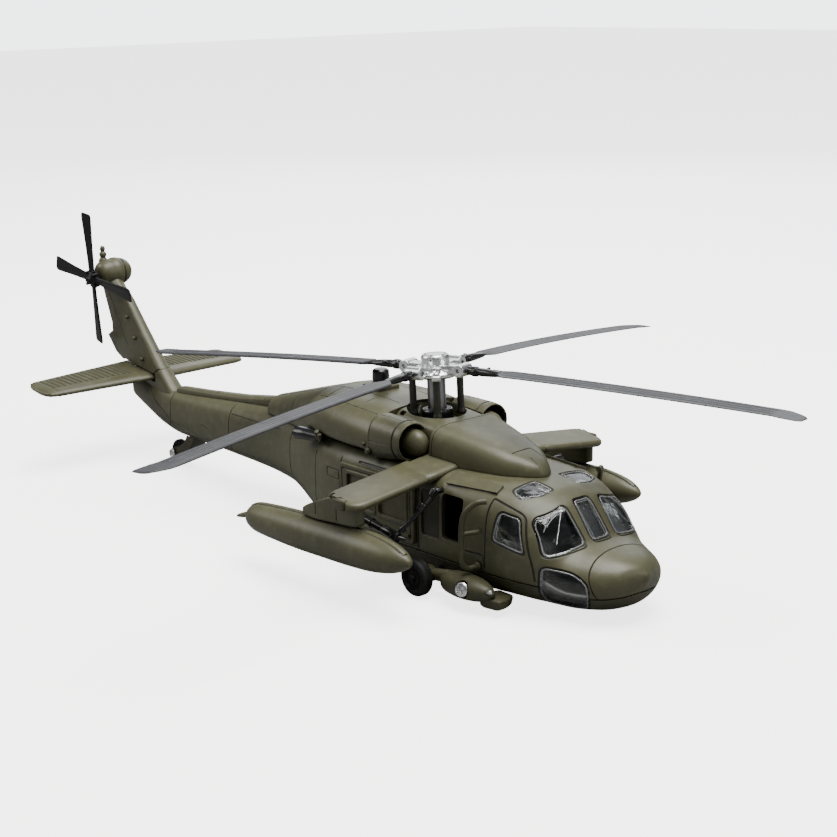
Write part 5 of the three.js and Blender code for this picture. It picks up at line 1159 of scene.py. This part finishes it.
def seat(y):
    pad = skin([[(x, y + p, z) for x, p in rounded(inset([(29.6, -2.9), (36.2, -2.9), (36.2, 2.9), (29.6, 2.9)], d), 0.9, 4)] for z, d in ((9.0, 0), (11.5, 0), (12.0, 0.15), (12.25, 0.5))])
    back = skin([[(x - 0.1 * (z - 9), y + p, z) for x, p in rounded(inset([(28.2, -2.8), (30.6, -2.8), (30.6, 2.8), (28.2, 2.8)], d), 0.6, 4)] for z, d in ((9.0, 0), (19.4, 0), (20.1, 0.2), (20.4, 0.5))])
    head = skin([[(x, y + p, z) for x, p in rounded(inset([(27.3, -1.5), (28.9, -1.5), (28.9, 1.5), (27.3, 1.5)], d), 0.5, 4)] for z, d in ((20.0, 0.2), (20.4, 0), (21.6, 0), (21.9, 0.3))])
    belts = [box(29.0, 29.75, y - 1.4, y - 0.9, 12.0, 19.6), box(29.0, 29.75, y + 0.9, y + 1.4, 12.0, 19.6)]
    return [pad, back, head] + belts


dash = boolean(hull.solid(50, 40, WALL + 0.6, 96, 1.2), [extrude([(43.4, 9.0), (46.4, 9.0), (47.4, 14.9), (44.8, 16.4), (43.0, 16.2)], "y", -11.4, 11.4)], "INTERSECT")
dials = [turned([(0.55, -0.4), (0.8, -0.4), (0.8, 0.12), (0.55, 0.12), (0.55, -0.4)], "x", (43.1, y, z), 20) for y in (-8.4, -5.6, -2.8, 2.8, 5.6, 8.4) for z in (13.0, 15.0)]
wall_ = boolean(hull.solid(0, -25, WALL + 0.45, 96, 1.5), [box(-17.4, -16.0, -18, 18, 9.0, 24.6)], "INTERSECT")
console = skin([[(x, y, z) for x, y in rounded(inset([(32, -1.8), (43.6, -1.8), (43.6, 1.8), (32, 1.8)], d), 0.5, 4)] for z, d in ((9.0, 0), (12.4, 0), (12.8, 0.3))])
sticks = [sweep(smooth([(39.6, y, 9.0), (39.2, y, 12.0), (38.4, y, 14.2)], 5), 0.28, 12) for y in (-6.4, 6.4)]
tub = boolean(floor_, [wall_, dash, console] + seat(6.4) + seat(-6.4) + sticks + dials, "UNION")
piece("interior_tub_fine", tub, "dark", stands_for="interior_tub")

# ---- main rotor: built upright over its foot, then leaned ---------------------------------------------------------------
LEAN = rot("Y", -ROTOR_TILT)


def lean(me):
    return moved(me, lambda p: (p - [0, 0, ROTOR_FOOT[2]]) @ LEAN.T + np.array(ROTOR_FOOT))


def spun(me, a):
    R = rot("Z", a)
    return moved(me, lambda p: p @ R.T)


mast = turned(soften([(0, 28), (2.1, 28), (2.1, 41.6), (0, 41.6)], 0.1, 3), "z", (0, 0, 0), 64)
piece("rotor_mast_fine", lean(mast), "steel", "main_rotor", "rotor_mast")
col = soften([(2.2, 31.8), (3.6, 31.8), (3.6, 34.4), (3.35, 34.75), (3.1, 34.75), (3.1, 34.55), (2.2, 34.55)], 0.12, 3)
piece("mast_collar_fine", lean(turned(col + [col[0]], "z", (0, 0, 0), 64)), "black", stands_for="mast_collar")
colt = [(2.2, 34.57), (3.06, 34.57), (3.06, 34.8), (2.2, 34.86)]
piece("mast_collar_washer", lean(turned(colt + [colt[0]], "z", (0, 0, 0), 64)), "grey")

parts = [turned(soften([(0, 42.0), (4.3, 42.0), (4.95, 42.4), (4.95, 43.2), (3.9, 43.8), (3.3, 44.3), (3.25, 45.2), (3.25, 46.7), (2.9, 47.25), (1.7, 47.45), (0, 47.5)], 0.25, 4), "z", (0, 0, 0), 64)]
for k in (0, 90, 180, 270):
    a = BLADE_AZ + k
    arm_ = skin([[(x, y * w, z) for y, z in rounded([(-1.0, 42.9), (1.0, 42.9), (1.0, 45.15), (-1.0, 45.15)], 0.35, 3)] for x, w in ((2.0, 2.3), (4.2, 1.75), (6.2, 1.4), (8.3, 1.35))])
    parts.append(spun(arm_, a))
    parts.append(spun(skin([[(7.6 + 1.5 * c * math.cos(t), y, 44.1 + 1.5 * c * math.sin(t)) for t in np.arange(40) / 40 * 2 * math.pi] for y, c in ((-2.05, 0.86), (-1.9, 1), (1.9, 1), (2.05, 0.86))]), a))
    lug = skin([[(x, y, z) for x, y in rounded(inset([(1.5, -1.15), (6.4, -1.0), (6.4, 1.0), (1.5, 1.15)], d), 0.4, 3)] for z, d in ((42.0, 0.1), (42.15, 0), (43.05, 0), (43.2, 0.12))])
    parts.append(spun(lug, a + 37.5))
    parts.append(spun(turned(soften([(0, 42.9), (0.85, 42.9), (0.85, 43.7), (0.6, 44.0), (0, 44.0)], 0.12, 3), "z", (LINK_R, 0, 0), 24), a + 37.5))
    parts.append(spun(turned(soften([(0, 43.2), (0.6, 43.2), (0.6, 44.6), (0.4, 44.8), (0, 44.8)], 0.1, 3), "z", (3.9, 0, 0), 20), a + 45))
hub = join(parts)
hub = boolean(hub, [turned([(0, 40), (2.3, 40), (2.3, 41.9), (0, 41.9)], "z", (0, 0, 0), 40), turned([(2.25, 47.0), (2.55, 47.0), (2.55, 48), (2.25, 48), (2.25, 47.0)], "z", (0, 0, 0), 48)]
              + [spun(box(2.4, 3.6, -0.25, 0.25, 46.0, 48), a) for a in (0, 60, 120, 180, 240, 300)]
              + [spun(rod((7.6, -2.4, 44.1), (7.6, 2.4, 44.1), 0.5, 0.5, 20), BLADE_AZ + k) for k in (0, 90, 180, 270)])
piece("rotor_hub_fine", lean(hub), "silver", "main_rotor", "rotor_hub", angle=34)
for k in range(4):
    a = BLADE_AZ + 37.5 + 90 * k
    l = turned(soften([(0, 33.2), (1.1, 33.2), (1.1, 33.9), (0.84, 34.6), (0.8, 35.2), (0.8, 42.2), (0, 42.2)], 0.25, 4), "z", (LINK_R, 0, 0), 32)
    piece(f"pitch_link_{k + 1}", lean(spun(l, a)), "plastic_dark", "main_rotor")


def blade(sag):
    xs = np.concatenate([np.linspace(15.6, 17.6, 3), np.linspace(18.0, 20.0, 7), np.linspace(21.5, 83, 50), np.linspace(84.2, 86, 8), np.linspace(86.6, 91, 12)])
    rings = []
    for x in xs:
        zc = 44.1 - sag * (max(0.0, x - 9) / (ROTOR_R - 9)) ** 1.55
        k = min(1.0, max(0.0, (x - 18.0) / 1.6))
        a = np.interp(x, [15.6, 17.9, 19.6, 84.4, 86.2, 88.6, 90.3, 91], [0.95, 1.05, 2.9, 2.9, 2.75, 1.55, 0.35, -0.6])
        b = np.interp(x, [15.6, 17.9, 19.6, 84.4, 86.2, 90.0, 91], [-0.95, -1.15, -2.9, -2.9, -3.35, -3.75, -3.35])
        t = np.interp(x, [15.6, 17.9, 19.6, 40, 74, 84.6, 90.4, 91], [0.75, 0.62, 0.44, 0.42, 0.38, 0.34, 0.26, 0.12])
        u = (1 - np.cos(np.linspace(0, math.pi, 41))) / 2
        shape = np.where(u < 0.15, np.sqrt(np.clip(1 - ((0.15 - u) / 0.15) ** 2, 0, 1)), 1 - 0.72 * ((np.maximum(u, 0.15) - 0.15) / 0.85) ** 1.3)
        on_ = k * (1.0 if x < 83.4 else max(0.0, 1 - (x - 83.4) / 1.2))
        r1 = np.exp(-(((u - 0.30) / 0.035) ** 2)) + np.exp(-(((u - 0.52) / 0.035) ** 2)) + np.exp(-(((u - 0.74) / 0.035) ** 2))
        y = a - (a - b) * u
        top = zc + t * shape + 0.17 * r1 * on_
        bot = zc - 0.8 * t * shape
        rings.append(np.concatenate([np.stack([np.full_like(y, x), y, top], 1), np.stack([np.full_like(y, x), y, bot], 1)[::-1][1:-1]]))
    return skin(rings)


def cuff():
    neck = skin([[(x, w * math.cos(t), 44.1 - 0.02 * (x - 9) + h * math.sin(t)) for t in np.arange(28) / 28 * 2 * math.pi] for x, w, h in
                 ((9.35, 1.0, 1.0), (10.4, 1.05, 1.0), (10.6, 1.25, 1.15), (11.6, 1.25, 1.15), (11.8, 1.0, 0.95), (12.6, 1.0, 0.9), (12.8, 1.2, 0.95), (15.2, 1.25, 0.85), (16.4, 1.3, 0.75), (17.9, 1.1, 0.6))])
    pin_ = rod((11.2, -1.75, 44.05), (11.2, 1.75, 44.05), 0.45, 0.45, 20)
    horn = rod((13.6, 0.4, 44.3), (13.6, 1.9, 44.6), 0.4, 0.35, 16)
    return join([neck, pin_, horn])


for i, n in enumerate(("front", "left", "rear", "right")):
    a = BLADE_AZ + 90 * i
    piece(f"rotor_blade_{n}_fine", lean(spun(blade(BLADE_SAG[i]), a)), "grey", "main_rotor", f"rotor_blade_{n}", angle=50)
    piece(f"blade_cuff_{n}", lean(spun(cuff(), a)), "black", "main_rotor", angle=36)

# ---- tail rotor -------------------------------------------------------------------------------------------------------
tq = np.array(Vector((0, 0, 1)).rotation_difference(Vector(TAXIS)).to_matrix()) @ rot("Z", TAIL_AZ)


def tail_blade():
    rings = []
    for x in np.concatenate([np.linspace(0.4, 5.2, 9), np.linspace(5.6, 18.0, 16), np.linspace(18.3, TAIL_R, 8)]):
        w = np.interp(x, [0.4, 3.0, 6.0, 10, 14, 18, 18.8, 19.3], [0.9, 1.1, 1.3, 1.5, 1.8, 2.1, 2.05, 1.75])
        t = np.interp(x, [0.4, 3.4, 5.6, 17.6, 19.3], [0.5, 0.46, 0.38, 0.32, 0.2])
        u = (1 - np.cos(np.linspace(0, math.pi, 21))) / 2
        shape = np.where(u < 0.2, np.sqrt(np.clip(1 - ((0.2 - u) / 0.2) ** 2, 0, 1)), 0.86 - 0.66 * ((np.maximum(u, 0.2) - 0.2) / 0.8) ** 1.3 + 0.14 * (u < 0.36))
        y = w * (1 - 2 * u)
        pitch = 0.10 * y
        rings.append(np.concatenate([np.stack([np.full_like(y, x), y, pitch + t * shape], 1), np.stack([np.full_like(y, x), y, pitch - 0.8 * t * shape], 1)[::-1][1:-1]]))
    return skin(rings)


tr = [turned(soften([(0, -1.2), (2.0, -1.2), (2.1, -0.6), (2.1, 0.55), (1.5, 0.9), (1.1, 1.2), (0.95, 1.9), (0.5, 2.1), (0, 2.1)], 0.18, 3), "z", (0, 0, 0), 48)]
for k in range(4):
    tr.append(spun(tail_blade(), 90 * k))
    tr.append(spun(turned(soften([(0, -0.9), (0.42, -0.9), (0.42, 1.15), (0.25, 1.35), (0, 1.35)], 0.1, 3), "z", (2.35, 0, 0), 16), 90 * k + 45))
    tr.append(spun(rod((2.2, -1.15, 0), (2.2, 1.15, 0), 0.42, 0.42, 16), 90 * k))
tr = boolean(join(tr), [rod((0, 0, -2), (0, 0, 0.4), 0.69, 0.69, 28, 0.01)])
piece("tail_rotor_fine", moved(tr, lambda p: p @ tq.T + np.array(TAIL_HUB)), "satin", "tail_rotor_unit", "tail_rotor", angle=40)

# ---- plain carried-over solids get a finished material too -------------------------------------------
slots = {row["node"]: row["material_slot"] for row in frame["record"]["subparts"]}
BY_SLOT = {"olive_paint": "paint", "olive_plastic": "plastic", "black_plastic": "black", "grey_plastic": "grey",
           "silver_metal": "silver", "clear_plastic": "clear", "black_rubber": "rubber"}
for n, o in frame["nodes"].items():
    o.data.materials.clear()
    o.data.materials.append(MAT[BY_SLOT[slots[n]]])

# ---- floor, light, camera ------------------------------------------------------------------------------


def stage_and_light():
    N = Nodes("floor_pale")
    seen = N.add("LightPath").outputs["Is Camera Ray"]
    pale = N.mix(N.math("MULTIPLY", N.noise(6.0, 3.0), 0.25), (0.93, 0.93, 0.93, 1), (0.90, 0.90, 0.905, 1))
    col = N.mix(seen, (0.22, 0.22, 0.22, 1), pale)
    b = N.add("BsdfPrincipled", {"Base Color": col, "Roughness": 0.8, "Emission Color": (1, 1, 1, 1), "Emission Strength": N.math("MULTIPLY", seen, 2.9)})
    N.t.links.new(b.outputs[0], N.out.inputs[0])
    me = bpy.data.meshes.new("floor")
    z = -FLAT_Z / 1000
    me.from_pydata([(-3, -3, z), (3, -3, z), (3, 3, z), (-3, 3, z)], [], [(0, 1, 2, 3)])
    me.materials.append(N.mat)
    floor = bpy.data.objects.new("floor", me)
    bpy.context.scene.collection.objects.link(floor)

    world = bpy.data.worlds.new("soft_studio")
    bpy.context.scene.world = world
    world.use_nodes = True
    t = world.node_tree
    back = t.nodes["Background"]
    back.inputs[0].default_value = (0.94, 0.96, 1.0, 1)
    path, k = t.nodes.new("ShaderNodeLightPath"), t.nodes.new("ShaderNodeMath")
    k.operation = "MULTIPLY_ADD"
    t.links.new(path.outputs["Is Camera Ray"], k.inputs[0])
    k.inputs[1].default_value, k.inputs[2].default_value = 3.98, 0.19
    t.links.new(k.outputs[0], back.inputs[1])

    def area(name, loc, target, size, power, color=(1, 1, 1)):
        light = bpy.data.lights.new(name, "AREA")
        light.shape, light.size, light.size_y, light.energy, light.color = "RECTANGLE", size[0], size[1], power, color
        o = bpy.data.objects.new(name, light)
        o.location = loc
        o.rotation_euler = (Vector(target) - Vector(loc)).to_track_quat("-Z", "Y").to_euler()
        bpy.context.scene.collection.objects.link(o)

    area("top_softbox", (0.08, 0.04, 0.70), (-0.01, 0, 0.02), (0.55, 0.45), 9.8, (1.0, 0.99, 0.95))
    area("front_softbox", (0.80, 0.25, 0.40), (0.03, 0, 0.01), (0.45, 0.45), 1.7, (1.0, 0.99, 0.96))
    area("left_softbox", (-0.55, -0.42, 0.48), (-0.08, 0, 0.02), (0.4, 0.4), 2.6, (1.0, 0.99, 0.95))
    area("back_fill", (-0.5, 0.55, 0.40), (-0.02, 0, 0.03), (0.6, 0.5), 2.2, (0.96, 0.98, 1.0))

    cam = bpy.data.cameras.new("photo_view")
    cam.sensor_width, cam.sensor_fit, cam.lens = 36.0, "HORIZONTAL", 1724.59 / 837 * 36.0
    cam.clip_start, cam.clip_end = 0.01, 20
    o = bpy.data.objects.new("photo_view", cam)
    R, U, F = (0.65800897, 0.75275943, -0.01942754), (-0.17414862, 0.17722746, 0.96863961), (-0.73259569, 0.63399027, -0.24770927)
    m = Matrix(((R[0], U[0], -F[0], 0.2853539101), (R[1], U[1], -F[1], -0.2525988712), (R[2], U[2], -F[2], 0.12971377835 - FLAT_Z / 1000), (0, 0, 0, 1)))
    o.matrix_world = m
    bpy.context.scene.collection.objects.link(o)
    bpy.context.scene.camera = o


stage_and_light()
